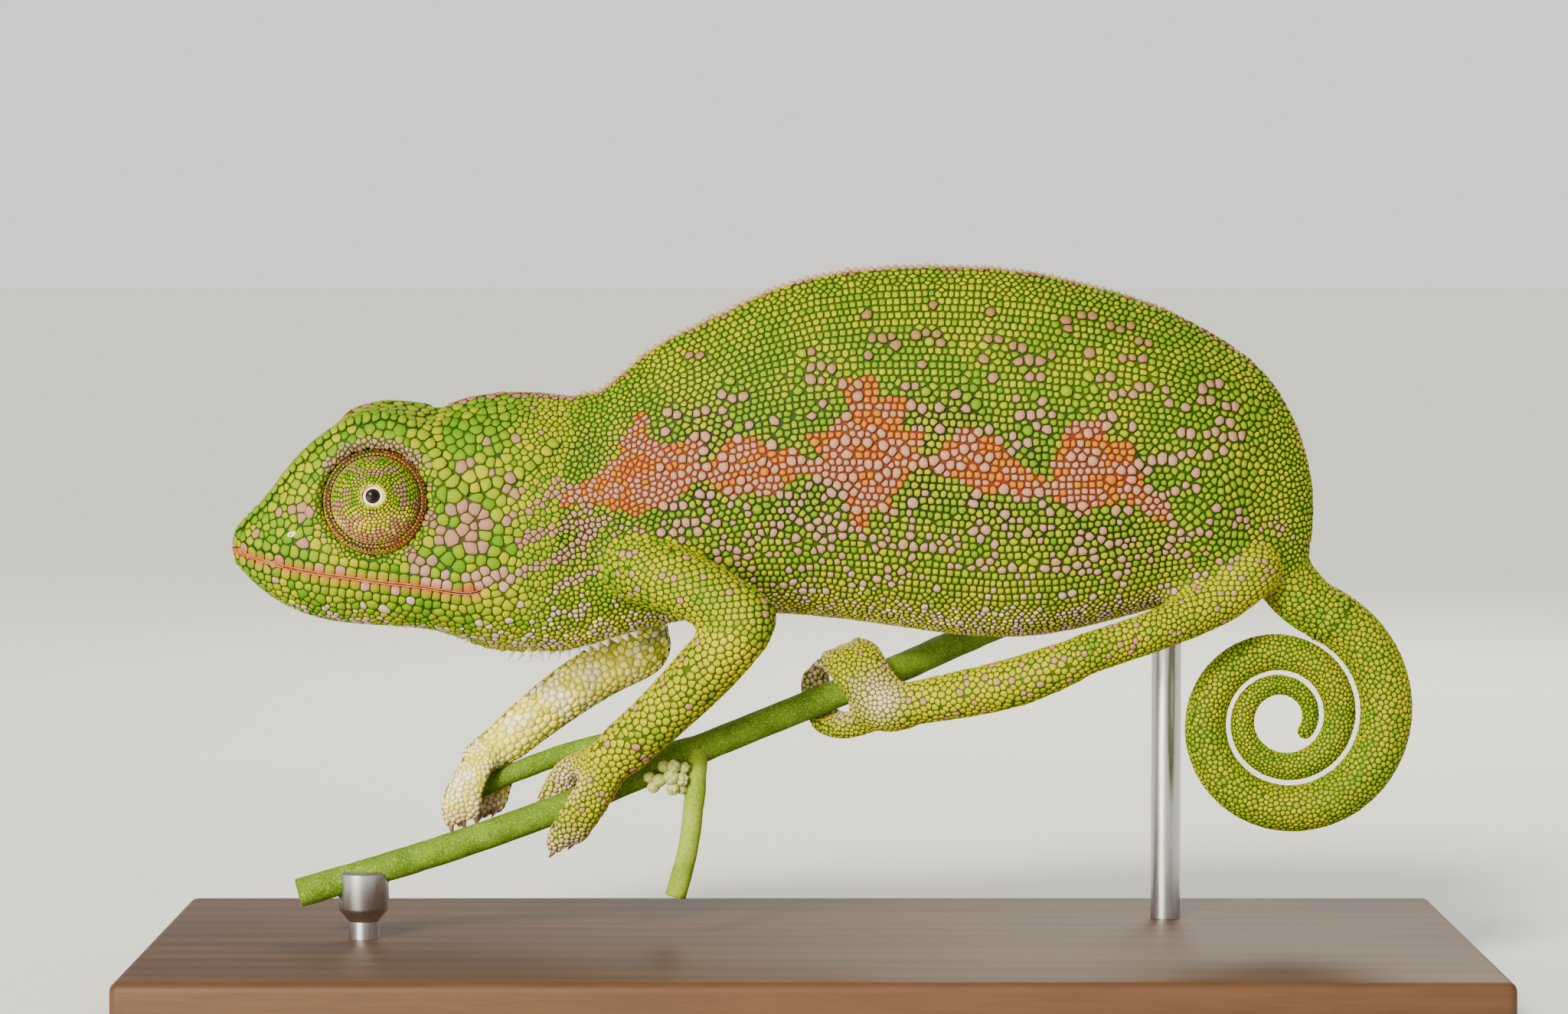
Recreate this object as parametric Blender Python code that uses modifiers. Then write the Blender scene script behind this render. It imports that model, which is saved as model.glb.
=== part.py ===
"""A carpet chameleon gripping a cut length of stem, on a plain display stand.

The animal faces -X with its left side towards -Y. Sizes and places are in millimetres,
and become metres where a mesh is made. The origin is the middle of the stand's underside.
"""

import math

import bmesh
import bpy
import numpy as np
from mathutils import Vector

MM = 0.001
GAP = 0.3  # clearance between faces that meet

# Head stations from snout to occiput: crown x and z, throat x and z, mouth line z,
# half width, height share of the widest place, crown shape, jaw shape, dish between the brows.
# A shape of 1 is round, less is boxy and more is keeled.
HEAD_STATIONS = (
    (-56.6, 45.3, -56.5, 43.3, 44.35, 1.0, 0.50, 0.9, 0.9, 0.0),
    (-55.7, 46.9, -55.5, 41.7, 44.0, 2.5, 0.48, 0.8, 0.8, 0.0),
    (-53.0, 50.4, -53.0, 39.5, 43.2, 4.0, 0.44, 0.8, 0.8, 0.2),
    (-50.3, 54.2, -50.4, 38.1, 42.6, 5.0, 0.42, 0.75, 0.8, 0.6),
    (-47.3, 56.9, -47.5, 37.2, 42.1, 5.6, 0.45, 0.6, 0.8, 0.9),
    (-44.3, 58.6, -44.6, 36.8, 41.7, 6.0, 0.48, 0.5, 0.8, 1.0),
    (-41.3, 59.1, -41.6, 36.6, 41.3, 6.3, 0.48, 0.5, 0.8, 0.9),
    (-38.3, 58.6, -38.7, 36.4, 41.0, 6.5, 0.45, 0.6, 0.8, 0.6),
    (-35.6, 58.4, -36.1, 36.1, 40.5, 6.7, 0.42, 0.7, 0.8, 0.3),
    (-32.0, 59.2, -33.4, 35.2, 40.1, 6.8, 0.42, 0.78, 0.8, 0.3),
    (-28.6, 59.4, -31.0, 34.5, 42.2, 6.7, 0.42, 0.82, 0.85, 0.3),
    (-25.6, 59.2, -28.7, 34.3, 44.0, 6.5, 0.43, 0.9, 0.9, 0.2),
    (-23.0, 58.7, -26.6, 34.3, 45.0, 6.3, 0.44, 1.0, 0.9, 0.0),
)
MOUTH_CORNER_X = -32.4  # the groove is at full depth in front of this and fades behind it
MOUTH_FADE = 3.0
MOUTH_DEPTH = 0.55
MOUTH_HALF_GAPE = 0.3
GROOVE_LIMIT = 0.6  # share of the half width that the groove may take
DISH_WIDTH = 0.55  # share of the half width over which the dish fades
DISH_ANGLE = 1.2  # radians from the crown that the dish reaches
NOSTRIL = (-50.9, 4.35, 45.9)
NOSTRIL_RADIUS = 0.5

# Trunk stations: crown x and z, belly x and z, half width, height share of the widest place,
# back shape, belly shape.
NECK_STATIONS = (
    (-22.7, 58.7, -26.3, 34.3, 6.3, 0.44, 1.0, 0.9),
    (-21.2, 59.6, -24.6, 34.3, 6.1, 0.44, 1.1, 0.9),
    (-19.6, 61.0, -22.4, 34.6, 6.0, 0.44, 1.2, 0.9),
    (-18.1, 62.3, -20.0, 35.2, 6.1, 0.44, 1.3, 0.9),
)
TORSO_STATIONS = (
    (-17.8, 62.5, -19.7, 35.3, 6.1, 0.44, 1.3, 0.9),
    (-14.3, 65.0, -15.6, 36.5, 6.4, 0.43, 1.4, 0.9),
    (-10.0, 67.1, -10.5, 37.5, 6.9, 0.42, 1.5, 0.9),
    (-4.7, 69.6, -5.0, 37.9, 7.6, 0.41, 1.5, 0.9),
    (0.4, 71.2, 0.4, 37.6, 8.1, 0.40, 1.5, 0.9),
    (5.8, 72.0, 6.2, 36.9, 8.4, 0.40, 1.5, 0.9),
    (11.1, 72.3, 12.4, 36.0, 8.6, 0.40, 1.5, 0.9),
    (16.5, 72.2, 18.4, 35.5, 8.7, 0.40, 1.5, 0.9),
    (21.9, 71.6, 23.8, 35.9, 8.7, 0.40, 1.5, 0.9),
    (28.1, 70.2, 29.4, 37.2, 8.4, 0.40, 1.5, 0.9),
    (34.2, 68.3, 34.8, 38.7, 7.8, 0.39, 1.5, 0.85),
    (38.8, 65.9, 38.6, 39.6, 7.1, 0.36, 1.5, 0.8),
    (42.2, 63.8, 40.6, 40.0, 6.0, 0.33, 1.4, 0.8),
    (45.4, 60.6, 41.6, 40.1, 4.7, 0.33, 1.3, 0.9),
    (47.9, 56.0, 42.2, 40.0, 4.0, 0.38, 1.2, 1.0),
    (49.2, 50.6, 42.6, 39.9, 3.6, 0.45, 1.1, 1.0),
    (49.2, 46.8, 42.9, 39.8, 3.4, 0.50, 1.0, 1.0),
    (48.9, 44.4, 43.1, 39.7, 3.3, 0.50, 1.0, 1.0),
)
TRUNK_SIDE_POINTS = 14
HEAD_UPPER_POINTS = 10  # from the crown to the mouth
HEAD_LOWER_POINTS = 6  # from the mouth to the throat
HEAD_SAMPLES = 3  # rings made for each station
TRUNK_SAMPLES = 2

# Eye turrets. The left one faces -Y and the right one mirrors it.
TURRET_MIDDLE = (-42.2, 4.54, 49.15)  # middle of the widest ring
TURRET_MIDDLE_HEIGHT = 2.8  # of that ring over the turret's back
SOCKET_TILT = 4.0  # degrees that the socket's axis looks up
GAZE_TILT = 11.0  # degrees that the turret and the eye look up
TURRET_STEPS = 24
SOCKET_MOUTH = ((1.2, 8.5), (0.0, 8.6))  # the cutter's end, outside the head
LID_RADIUS = 1.3
LID_RIM = ((0.45, 0.3), (0.08, 0.25))  # past the lid's radius and over the eyeball's edge
EYE_HOLLOW_ROWS = 7
EYE_RADIUS = 1.85
EYE_DEPTH = 4.95  # eyeball's centre, measured out from the turret's back
# Outer wall of a turret: radius and distance from its back.
TURRET_WALL = ((4.6, 0.7), (4.95, 1.5), (5.05, 2.8), (4.85, 4.0), (4.3, 5.1), (3.3, 6.1), (2.2, 6.75))
TURRET_BACK = 0.7
SOCKET_WALL = ((4.95, -0.3), (5.35, 1.2), (5.4, 2.8), (5.2, 4.0), (4.6, 5.1), (3.6, 6.1), (2.5, 6.75))

# Crests of cones
GULAR_CONES = 14
GULAR_START_X = -36.3
GULAR_END_X = -27.2
GULAR_LENGTH = (0.9, 1.7)  # front and rear cones
GULAR_RADIUS = 0.52
GULAR_ROOT = 0.9  # depth of each root in the flesh
GULAR_LEAN = 0.12
NECK_GULAR_CONES = 5
NECK_GULAR_X = (-25.6, -21.2)
DORSAL_CONES = 22
DORSAL_START_X = -17.0
DORSAL_END_X = 11.0
DORSAL_LENGTH = (0.7, 0.35)
DORSAL_RADIUS = 0.55
DORSAL_ROOT = 1.1
DORSAL_LEAN = 0.25
DORSAL_STATIONS = 10  # torso stations that carry them
CONE_SIDES = 5
CONE_TIP = 0.12  # share of the foot's radius

# Stem: points along its middle
STEM_RADIUS = 1.45
STEM_SIDES = 12
TWIG_SIDES = 8
STEM_POINTS = (
    (-50.3, -0.9, 10.5),
    (-37.5, -0.4, 14.3),
    (-24.6, 0.0, 18.8),
    (-12.0, 0.6, 24.1),
    (2.3, 2.0, 29.8),
    (9.8, 4.6, 32.6),
    (18.0, 9.0, 35.8),
    (30.0, 12.2, 40.3),
    (42.0, 14.2, 44.9),
    (50.0, 15.0, 47.8),
)
STEM_NODE = (-12.8, 0.5, 23.8)  # swelling where the side shoot leaves
STEM_NODE_RADIUS = 1.8
TWIG_ROWS = (
    (-14.6, 2.6, 24.6, 1.15),
    (-18.0, 3.6, 25.0, 1.05),
    (-22.0, 4.8, 24.3, 1.0),
    (-27.0, 6.0, 22.6, 1.0),
    (-31.0, 6.6, 20.9, 0.95),
    (-35.4, 6.8, 18.7, 0.9),
)
SHOOT_ROWS = (
    (-11.3, -1.6, 22.6, 1.1),
    (-11.5, -2.3, 19.6, 1.05),
    (-12.1, -2.5, 15.0, 1.05),
    (-13.3, -2.2, 10.3, 1.08),
)
BUDS = 7
BUD_RADIUS = 0.85
BUD_CENTRE = (-13.7, -2.5, 22.2)
BUD_TURN = 2.4  # radians from one bud to the next
BUD_REACH = (0.5, 0.32)  # of the first bud, and more for each next one
BUD_HEIGHT = 0.8  # height of the cluster for its length
BUD_DEPTH = (0.25, 1.7)  # how far the buds stand to and fro, and the turn of that

# Stand
BASE_LENGTH = 130.0
BASE_WIDTH = 56.0
BASE_HEIGHT = 6.0
BASE_BEVEL = 1.0
ROD_RADIUS = 1.5
CRADLE_RADIUS = 2.5
CRADLE_HEIGHT = 5.0
CRADLE_TAPER = 1.2
CRADLE_LIP = 0.4  # height of the cradle's rim over the stem's middle
ROD_STEPS = 20
ROD_X = {"stand_rod_front": -44.0, "stand_rod_rear": 36.0}

# Limbs: rows of x, y, z and radius, from the body outwards
LIMBS = {
    "arm_left_upper": (
        (-19.0, -3.0, 43.5, 3.6),
        (-15.5, -6.2, 42.4, 3.6),
        (-10.5, -8.6, 40.6, 3.3),
        (-6.2, -10.2, 38.2, 3.1),
    ),
    "arm_left_fore": (
        (-6.4, -10.2, 37.6, 3.2),
        (-10.2, -8.8, 33.2, 3.2),
        (-14.6, -6.4, 28.6, 2.9),
        (-18.6, -4.0, 24.8, 2.8),
    ),
    "arm_right_upper": (
        (-20.0, 3.0, 42.5, 3.4),
        (-18.5, 6.6, 40.5, 3.3),
        (-17.4, 9.0, 37.0, 3.0),
        (-16.6, 10.6, 33.8, 2.8),
    ),
    "arm_right_fore": (
        (-16.8, 10.4, 33.4, 2.9),
        (-21.5, 9.6, 31.2, 2.9),
        (-26.5, 8.2, 27.8, 2.7),
        (-30.4, 7.0, 24.6, 2.4),
    ),
    "leg_left_thigh": (
        (43.0, -3.3, 42.6, 3.0),
        (39.5, -4.8, 39.6, 2.6),
        (33.0, -7.2, 36.8, 2.2),
        (26.2, -8.8, 34.7, 2.2),
    ),
    "leg_left_shank": (
        (25.8, -8.8, 34.4, 2.3),
        (20.0, -7.6, 32.0, 2.6),
        (14.0, -5.4, 30.4, 2.5),
        (9.6, -3.2, 29.4, 2.3),
    ),
    "leg_right_thigh": (
        (43.0, 3.3, 43.6, 2.9),
        (41.0, 6.0, 43.6, 2.7),
        (37.4, 9.6, 45.2, 2.3),
        (33.8, 12.8, 48.2, 2.1),
    ),
    "leg_right_shank": (
        (33.4, 13.0, 48.2, 2.2),
        (31.2, 14.2, 47.0, 2.3),
        (29.2, 14.4, 45.2, 2.1),
        (27.8, 13.6, 43.4, 1.9),
    ),
}
LIMB_SIDES = 10
LIMB_SAMPLES = 2

# Feet: the palm's rows, then each bundle of toes with its middle rows, count and claw direction.
FEET = {
    "hand_left": {
        "palm": ((-18.6, -4.0, 24.8, 2.7), (-20.3, -3.2, 23.4, 2.5), (-21.4, -2.6, 22.9, 2.0)),
        "bundles": (
            (2, 2.0, ((-19.6, -3.9, 23.4, 1.8), (-21.3, -4.1, 20.6, 1.75),
                      (-22.9, -3.8, 18.0, 1.65), (-24.0, -3.0, 16.2, 1.4)), (-0.35, 0.45, -1.0)),
            (3, 1.3, ((-20.6, -2.0, 24.0, 1.5), (-22.6, 0.9, 23.3, 1.4),
                      (-24.2, 3.1, 21.4, 1.4), (-25.4, 3.2, 18.4, 1.2)), (-0.1, -0.75, -1.0)),
        ),
        "clear_of": ("arm_left_fore",),
    },
    "hand_right": {
        "palm": ((-30.4, 7.0, 24.6, 2.4), (-32.0, 6.8, 23.6, 2.2), (-33.2, 6.7, 22.9, 1.9)),
        "bundles": (
            (3, 1.3, ((-32.6, 5.4, 23.4, 1.3), (-33.8, 3.9, 21.4, 1.3),
                      (-34.6, 3.6, 19.4, 1.2), (-34.6, 3.9, 17.6, 1.0)), (0.1, 0.5, -1.0)),
            (2, 1.5, ((-31.6, 8.2, 23.6, 1.4), (-31.6, 9.5, 21.4, 1.4),
                      (-31.8, 9.4, 19.2, 1.3), (-32.2, 8.0, 17.8, 1.1)), (-0.2, -1.0, -0.5)),
        ),
        "clear_of": ("arm_right_fore",),
    },
    "foot_left": {
        "palm": ((9.6, -3.2, 29.2, 2.4), (7.5, -2.5, 28.9, 2.6), (5.7, -1.8, 28.9, 2.3)),
        "bundles": (
            (3, 1.6, ((6.8, -2.3, 30.0, 1.9), (5.2, -1.9, 31.8, 1.9),
                      (4.2, -0.5, 33.3, 1.8), (3.3, 1.7, 33.7, 1.5)), (-0.7, 0.9, -0.5)),
            (2, 1.4, ((6.4, -1.4, 28.0, 1.6), (3.8, 0.4, 26.9, 1.5),
                      (1.4, 3.2, 27.2, 1.3), (0.5, 4.9, 29.6, 1.2), (0.4, 4.8, 31.6, 1.0)),
             (0.3, -0.2, 1.0)),
        ),
        "clear_of": ("leg_left_shank",),
    },
    "foot_right": {
        "palm": ((27.8, 13.6, 43.4, 1.9), (27.2, 12.8, 42.6, 1.9), (26.8, 12.2, 42.3, 1.7)),
        "bundles": (
            (3, 1.3, ((27.0, 13.6, 42.0, 1.3), (26.6, 14.6, 40.4, 1.3),
                      (26.4, 14.4, 38.2, 1.2), (26.2, 12.8, 36.8, 1.0)), (-0.1, -1.0, -0.2)),
            (2, 1.4, ((26.4, 11.2, 42.0, 1.2), (25.6, 9.4, 41.0, 1.2),
                      (25.0, 8.4, 39.0, 1.1), (25.0, 8.7, 37.2, 1.0)), (0.0, 0.9, -0.6)),
        ),
        "clear_of": ("leg_right_shank",),
    },
}
TOE_SIDES = 6
TOE_SAMPLES = 2
TOE_FAN = 0.55  # share of the toes' spacing at their roots
TOE_CAP = (45,)
CLAW_LENGTH = 1.3
CLAW_RADIUS = 0.42
CLAW_ROOT = 0.2  # foot of the claw, as a share of the toe's radius past its last row
CLAW_REACH = 0.5

# Tail: a lead-in from the pelvis, then a spiral that winds clockwise seen from the left side.
TAIL_LEAD = ((46.0, 0.2, 42.05, 3.2), (47.6, 0.3, 40.0, 3.1), (49.6, 0.4, 38.3, 2.95))
TAIL_COIL_CENTRE = (46.4, 27.5)
TAIL_COIL_START = 60.0  # degrees above +X
TAIL_TURNS = 2.25
TAIL_COIL_RADIUS = (11.0, -5.65, 0.85)  # polynomial in turns
TAIL_RADIUS = (2.8, -1.2, 0.13)
TAIL_DRIFT = (0.5, 0.35)  # y at the start and its rise for each turn
TAIL_CUTS = (0.0, 0.3, 0.62, 0.95, 1.3, 1.7)
TAIL_SIDES = 10
TAIL_RING_STEP = 0.045  # turns between rings
TAIL_LEAD_SAMPLES = 3
TAIL_CAP = (45, 75)
LIMB_CAP = (30, 62)  # degrees of the rings that close a limb's end
LINE_SAMPLES = 12  # rows for each span where a point on a line is looked up
LINE_STEP = 0.5

PARTS = "carpet_chameleon"
CUTTERS = "cutters"


def clear_scene():
    for old in list(bpy.data.objects):
        bpy.data.objects.remove(old, do_unlink=True)


def new_collection(name):
    found = bpy.data.collections.new(name)
    bpy.context.scene.collection.children.link(found)
    return found


def new_material(name, colour, roughness, metallic=0.0):
    made = bpy.data.materials.new(name)
    made.use_nodes = True
    shader = made.node_tree.nodes["Principled BSDF"]
    shader.inputs["Base Color"].default_value = (*colour, 1.0)
    shader.inputs["Roughness"].default_value = roughness
    shader.inputs["Metallic"].default_value = metallic
    return made


def spline(rows, samples):
    """Rows on a smooth curve through the given rows, with that many for each span."""
    rows = np.array(rows, float)
    ends = np.vstack((2 * rows[0] - rows[1], rows, 2 * rows[-1] - rows[-2]))
    made = []
    for i in range(1, len(ends) - 2):
        a, b, c, d = ends[i - 1 : i + 3]
        for t in np.arange(samples) / samples:
            made.append(
                0.5 * (2 * b + (c - a) * t + (2 * a - 5 * b + 4 * c - d) * t**2
                       + (3 * b - a - 3 * c + d) * t**3)
            )
    made.append(rows[-1])
    return np.array(made)


def mesh_object(name, mesh_maker, collection):
    """A new object whose mesh is the one that mesh_maker fills."""
    grid = bmesh.new()
    mesh_maker(grid)
    bmesh.ops.recalc_face_normals(grid, faces=grid.faces)
    mesh = bpy.data.meshes.new(name)
    grid.to_mesh(mesh)
    grid.free()
    made = bpy.data.objects.new(name, mesh)
    collection.objects.link(made)
    return made


def loft(name, rings, collection):
    """A closed body through rings of points in millimetres, each end capped."""

    def fill(grid):
        layers = []
        for ring in rings:
            layers.append([grid.verts.new(Vector(point) * MM) for point in ring])
        for low, high in zip(layers, layers[1:]):
            count = len(low)
            for i in range(count):
                j = (i + 1) % count
                grid.faces.new((low[i], low[j], high[j], high[i]))
        grid.faces.new(layers[0])
        grid.faces.new(layers[-1])

    return mesh_object(name, fill, collection)


def height_angle(share, widest):
    """Angle down from the crown at which a section reaches a share of its height."""
    if share > widest:
        return math.acos((share - widest) / (1 - widest))
    return math.acos(share / widest - 1)


def section(crown, base, half_width, widest, crown_shape, base_shape, angles, groove=None, dish=0.0):
    """One closed ring in the plane through crown, base and the Y direction."""
    crown = np.array((crown[0], 0.0, crown[1]))
    base = np.array((base[0], 0.0, base[1]))
    up = crown - base
    side = []
    for i, angle in enumerate(angles):
        reach = math.cos(angle) * ((1 - widest) if angle < math.pi / 2 else widest)
        shape = crown_shape if angle < math.pi / 2 else base_shape
        out = half_width * max(math.sin(angle), 0.0) ** shape
        if groove is not None and i == groove[0]:
            out -= min(groove[1], GROOVE_LIMIT * out)
        sink = dish * math.exp(-((out / (DISH_WIDTH * half_width)) ** 2)) if angle < DISH_ANGLE else 0.0
        middle = base + up * (widest + reach) - np.array((0.0, 0.0, sink))
        side.append((middle, out))
    left = [(m[0], -out, m[2]) for m, out in side]
    right = [(m[0], out, m[2]) for m, out in side[-2:0:-1]]
    return left + right


def trunk(name, stations, collection):
    angles = np.linspace(0, math.pi, TRUNK_SIDE_POINTS)
    rings = []
    for row in spline(stations, TRUNK_SAMPLES):
        rings.append(section(row[0:2], row[2:4], *row[4:8], angles))
    return loft(name, rings, collection)


def head_body(name, collection):
    """The head's main form, with the mouth as a groove between two lips."""
    rings = []
    for row in spline(HEAD_STATIONS, HEAD_SAMPLES):
        crown, base = row[0:2], row[2:4]
        mouth_z, half_width, widest, crown_shape, jaw_shape, dish = row[4:10]
        height = crown[1] - base[1]
        share = (mouth_z - base[1]) / height
        lip = MOUTH_HALF_GAPE / height
        over = height_angle(share + lip, widest)
        under = height_angle(share - lip, widest)
        middle = height_angle(share, widest)
        angles = [*np.linspace(0, over, HEAD_UPPER_POINTS), middle,
                  *np.linspace(under, math.pi, HEAD_LOWER_POINTS)]
        x = base[0] + (crown[0] - base[0]) * share
        fade = 1 - min(max((x - MOUTH_CORNER_X) / MOUTH_FADE, 0.0), 1.0)
        rings.append(section(crown, base, half_width, widest, crown_shape, jaw_shape, angles,
                             groove=(HEAD_UPPER_POINTS, MOUTH_DEPTH * fade), dish=dish))
    return loft(name, rings, collection)


def rings_round(places, sides):
    """Circles of points round places given as a point, a direction and a radius."""
    across = np.cross(places[0][1], (0.0, 1.0, 0.3))
    turn = np.arange(sides) * 2 * math.pi / sides
    rings = []
    for point, tangent, radius in places:
        across = across - tangent * np.dot(across, tangent)
        across /= np.linalg.norm(across)
        other = np.cross(tangent, across)
        rings.append([point + radius * (across * math.cos(a) + other * math.sin(a)) for a in turn])
    return rings


def places_along(rows):
    """Point, direction and radius at each row of a line."""
    points, radii = rows[:, :3], rows[:, 3]
    tangents = np.gradient(points, axis=0)
    tangents /= np.linalg.norm(tangents, axis=1)[:, None]
    return list(zip(points, tangents, radii))


def dome(place, outward, steps):
    """Places that close a tube's end with a round cap."""
    point, tangent, radius = place
    turns = [math.radians(a) for a in steps]
    return [(point + outward * tangent * radius * math.sin(a), tangent, radius * math.cos(a)) for a in turns]


def tube(name, rows, sides, samples, collection, flat_ends=False, cap=LIMB_CAP):
    """A tapered body round the smooth line through rows of x, y, z and radius, with domed ends."""
    places = places_along(spline(rows, samples))
    if not flat_ends:
        places = dome(places[0], -1, cap)[::-1] + places + dome(places[-1], 1, cap)
    return loft(name, rings_round(places, sides), collection)


def turned(name, profile, steps, collection):
    """A turned body: profile rows are radius and height, with the axis on Z."""
    mesh = bpy.data.meshes.new(name)
    points = [(r * MM, 0.0, z * MM) for r, z in profile]
    mesh.from_pydata(points, [(i, i + 1) for i in range(len(points) - 1)], [])
    made = bpy.data.objects.new(name, mesh)
    collection.objects.link(made)
    screw = made.modifiers.new("turn", "SCREW")
    screw.axis = "Z"
    screw.steps = screw.render_steps = steps
    screw.use_merge_vertices = True
    screw.merge_threshold = 0.00001
    return made


def cone(name, root, direction, length, radius, sides, collection):
    """A tapered spine: root is the middle of its foot, in millimetres."""

    def fill(grid):
        aim = Vector(direction).normalized()
        foot = Vector(root) * MM
        turn = aim.to_track_quat("Z", "Y").to_matrix().to_4x4()
        turn.translation = foot + aim * length * MM / 2
        bmesh.ops.create_cone(grid, cap_ends=True, segments=sides, radius1=radius * MM,
                              radius2=radius * MM * CONE_TIP, depth=length * MM, matrix=turn)

    return mesh_object(name, fill, collection)


def ball(name, centre, radius, collection, subdivisions=2):
    def fill(grid):
        bmesh.ops.create_icosphere(grid, subdivisions=subdivisions, radius=radius * MM)
        bmesh.ops.translate(grid, verts=grid.verts, vec=Vector(centre) * MM)

    return mesh_object(name, fill, collection)


def apply_modifiers(thing):
    """Turns the evaluated shape into the object's own mesh, in world space."""
    graph = bpy.context.evaluated_depsgraph_get()
    graph.update()
    mesh = bpy.data.meshes.new_from_object(thing.evaluated_get(graph))
    mesh.transform(thing.matrix_world)
    thing.modifiers.clear()
    thing.data = mesh
    thing.matrix_world.identity()
    thing.location = (0, 0, 0)
    thing.rotation_euler = (0, 0, 0)
    bpy.context.view_layer.update()


def keep_largest(thing):
    """Keeps the closed surface that fills the largest box."""
    grid = bmesh.new()
    grid.from_mesh(thing.data)
    left = set(grid.faces)
    shells = []
    while left:
        seed = left.pop()
        shell, edge = {seed}, [seed]
        while edge:
            face = edge.pop()
            for side in face.edges:
                for other in side.link_faces:
                    if other in left:
                        left.discard(other)
                        shell.add(other)
                        edge.append(other)
        shells.append(shell)

    def size(shell):
        corners = [v.co for face in shell for v in face.verts]
        box = [max(c[i] for c in corners) - min(c[i] for c in corners) for i in range(3)]
        return box[0] * box[1] * box[2]

    largest = max(shells, key=size)
    dropped = [face for shell in shells if shell is not largest for face in shell]
    bmesh.ops.delete(grid, geom=dropped, context="FACES")
    loose = [v for v in grid.verts if not v.link_faces]
    bmesh.ops.delete(grid, geom=loose, context="VERTS")
    grid.to_mesh(thing.data)
    grid.free()


def is_closed(thing):
    grid = bmesh.new()
    grid.from_mesh(thing.data)
    closed = len(grid.faces) > 0 and all(len(edge.link_faces) == 2 for edge in grid.edges)
    grid.free()
    return closed


def combine(thing, pieces, operation):
    """One Boolean of an object with several others, applied; the others are removed."""
    group = bpy.data.collections.new("pieces of " + thing.name)
    bpy.context.scene.collection.children.link(group)
    for piece in pieces:
        for holder in list(piece.users_collection):
            holder.objects.unlink(piece)
        group.objects.link(piece)
    before = thing.data.copy()
    for solver in ("EXACT", "MANIFOLD"):
        thing.data = before.copy()
        step = thing.modifiers.new("combine", "BOOLEAN")
        step.operation = operation
        step.operand_type = "COLLECTION"
        step.collection = group
        step.solver = solver
        apply_modifiers(thing)
        keep_largest(thing)
        if is_closed(thing):
            break
    for piece in list(group.objects):
        bpy.data.objects.remove(piece, do_unlink=True)
    bpy.data.collections.remove(group)


def grown_copy(thing, amount, collection):
    """A cutter: the same form with its surface moved outwards."""
    grid = bmesh.new()
    grid.from_mesh(thing.data)
    grid.normal_update()
    moves = [v.normal * amount * MM * v.calc_shell_factor() for v in grid.verts]
    for v, move in zip(grid.verts, moves):
        v.co += move
    mesh = bpy.data.meshes.new(thing.name + " grown")
    grid.to_mesh(mesh)
    grid.free()
    made = bpy.data.objects.new(mesh.name, mesh)
    collection.objects.link(made)
    made.hide_render = True
    made.display_type = "WIRE"
    return made


def line_at(rows, x):
    """Point on a smooth line of rows at one x, and its direction."""
    line = spline(rows, LINE_SAMPLES)
    order = np.argsort(line[:, 0])
    point = np.array([np.interp(x, line[order, 0], line[order, i]) for i in range(3)])
    ahead = np.array([np.interp(x + LINE_STEP, line[order, 0], line[order, i]) for i in range(3)])
    return point, (ahead - point) / np.linalg.norm(ahead - point)


def turret_axis(side, tilt):
    """Back and direction of an eye turret or its socket: side is -1 for the left and 1 for the right."""
    aim = Vector((0.0, side * math.cos(math.radians(tilt)), math.sin(math.radians(tilt))))
    x, y, z = TURRET_MIDDLE
    return Vector((x, side * y, z)) - aim * TURRET_MIDDLE_HEIGHT, aim


def turret(side, tilt, profile, name, collection):
    """A turned form on the axis of an eye."""
    made = turned(name, profile, TURRET_STEPS, collection)
    back, aim = turret_axis(side, tilt)
    made.rotation_mode = "QUATERNION"
    made.rotation_quaternion = aim.to_track_quat("Z", "X")
    made.location = back * MM
    bpy.context.view_layer.update()
    apply_modifiers(made)
    grid = bmesh.new()
    grid.from_mesh(made.data)
    bmesh.ops.recalc_face_normals(grid, faces=grid.faces)
    grid.to_mesh(made.data)
    grid.free()
    return made


def turret_profile():
    """Turret wall, the lid's rim, and the hollow that the eyeball fills."""
    hollow = EYE_RADIUS + GAP
    rim = EYE_DEPTH + math.sqrt(hollow**2 - LID_RADIUS**2)
    start = math.asin(LID_RADIUS / hollow)
    inner = [(hollow * math.sin(a), EYE_DEPTH + hollow * math.cos(a))
             for a in np.linspace(start, math.pi, EYE_HOLLOW_ROWS + 1)[:-1]]
    lip = [(LID_RADIUS + wide, rim + high) for wide, high in LID_RIM]
    return [(0.0, TURRET_BACK), *TURRET_WALL, *lip, *inner, (0.0, EYE_DEPTH - hollow)]


def socket_profile():
    """The cutter that makes room for the turret, closed over the top."""
    return [(0.0, SOCKET_WALL[0][1]), *SOCKET_WALL, *SOCKET_MOUTH]


def make_head(parts, cutters):
    head = head_body("head", parts)
    x, y, z = NOSTRIL
    nose = [ball("nostril", (x, side * y, z), NOSTRIL_RADIUS, cutters) for side in (-1, 1)]
    sockets = [turret(side, SOCKET_TILT, socket_profile(), "socket", cutters) for side in (-1, 1)]
    combine(head, nose + sockets, "DIFFERENCE")
    throat = [(row[2], 0.0, row[3]) for row in HEAD_STATIONS]
    cones = []
    for i, x in enumerate(np.linspace(GULAR_START_X, GULAR_END_X, GULAR_CONES - NECK_GULAR_CONES)):
        cones.append(gular_cone(throat, x, i / GULAR_CONES, parts))
    combine(head, cones, "UNION")
    for side, name in ((-1, "left"), (1, "right")):
        turret(side, GAZE_TILT, turret_profile(), "eye_turret_" + name, parts)
        back, aim = turret_axis(side, GAZE_TILT)
        ball("eye_" + name, back + aim * EYE_DEPTH, EYE_RADIUS, parts)


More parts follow.
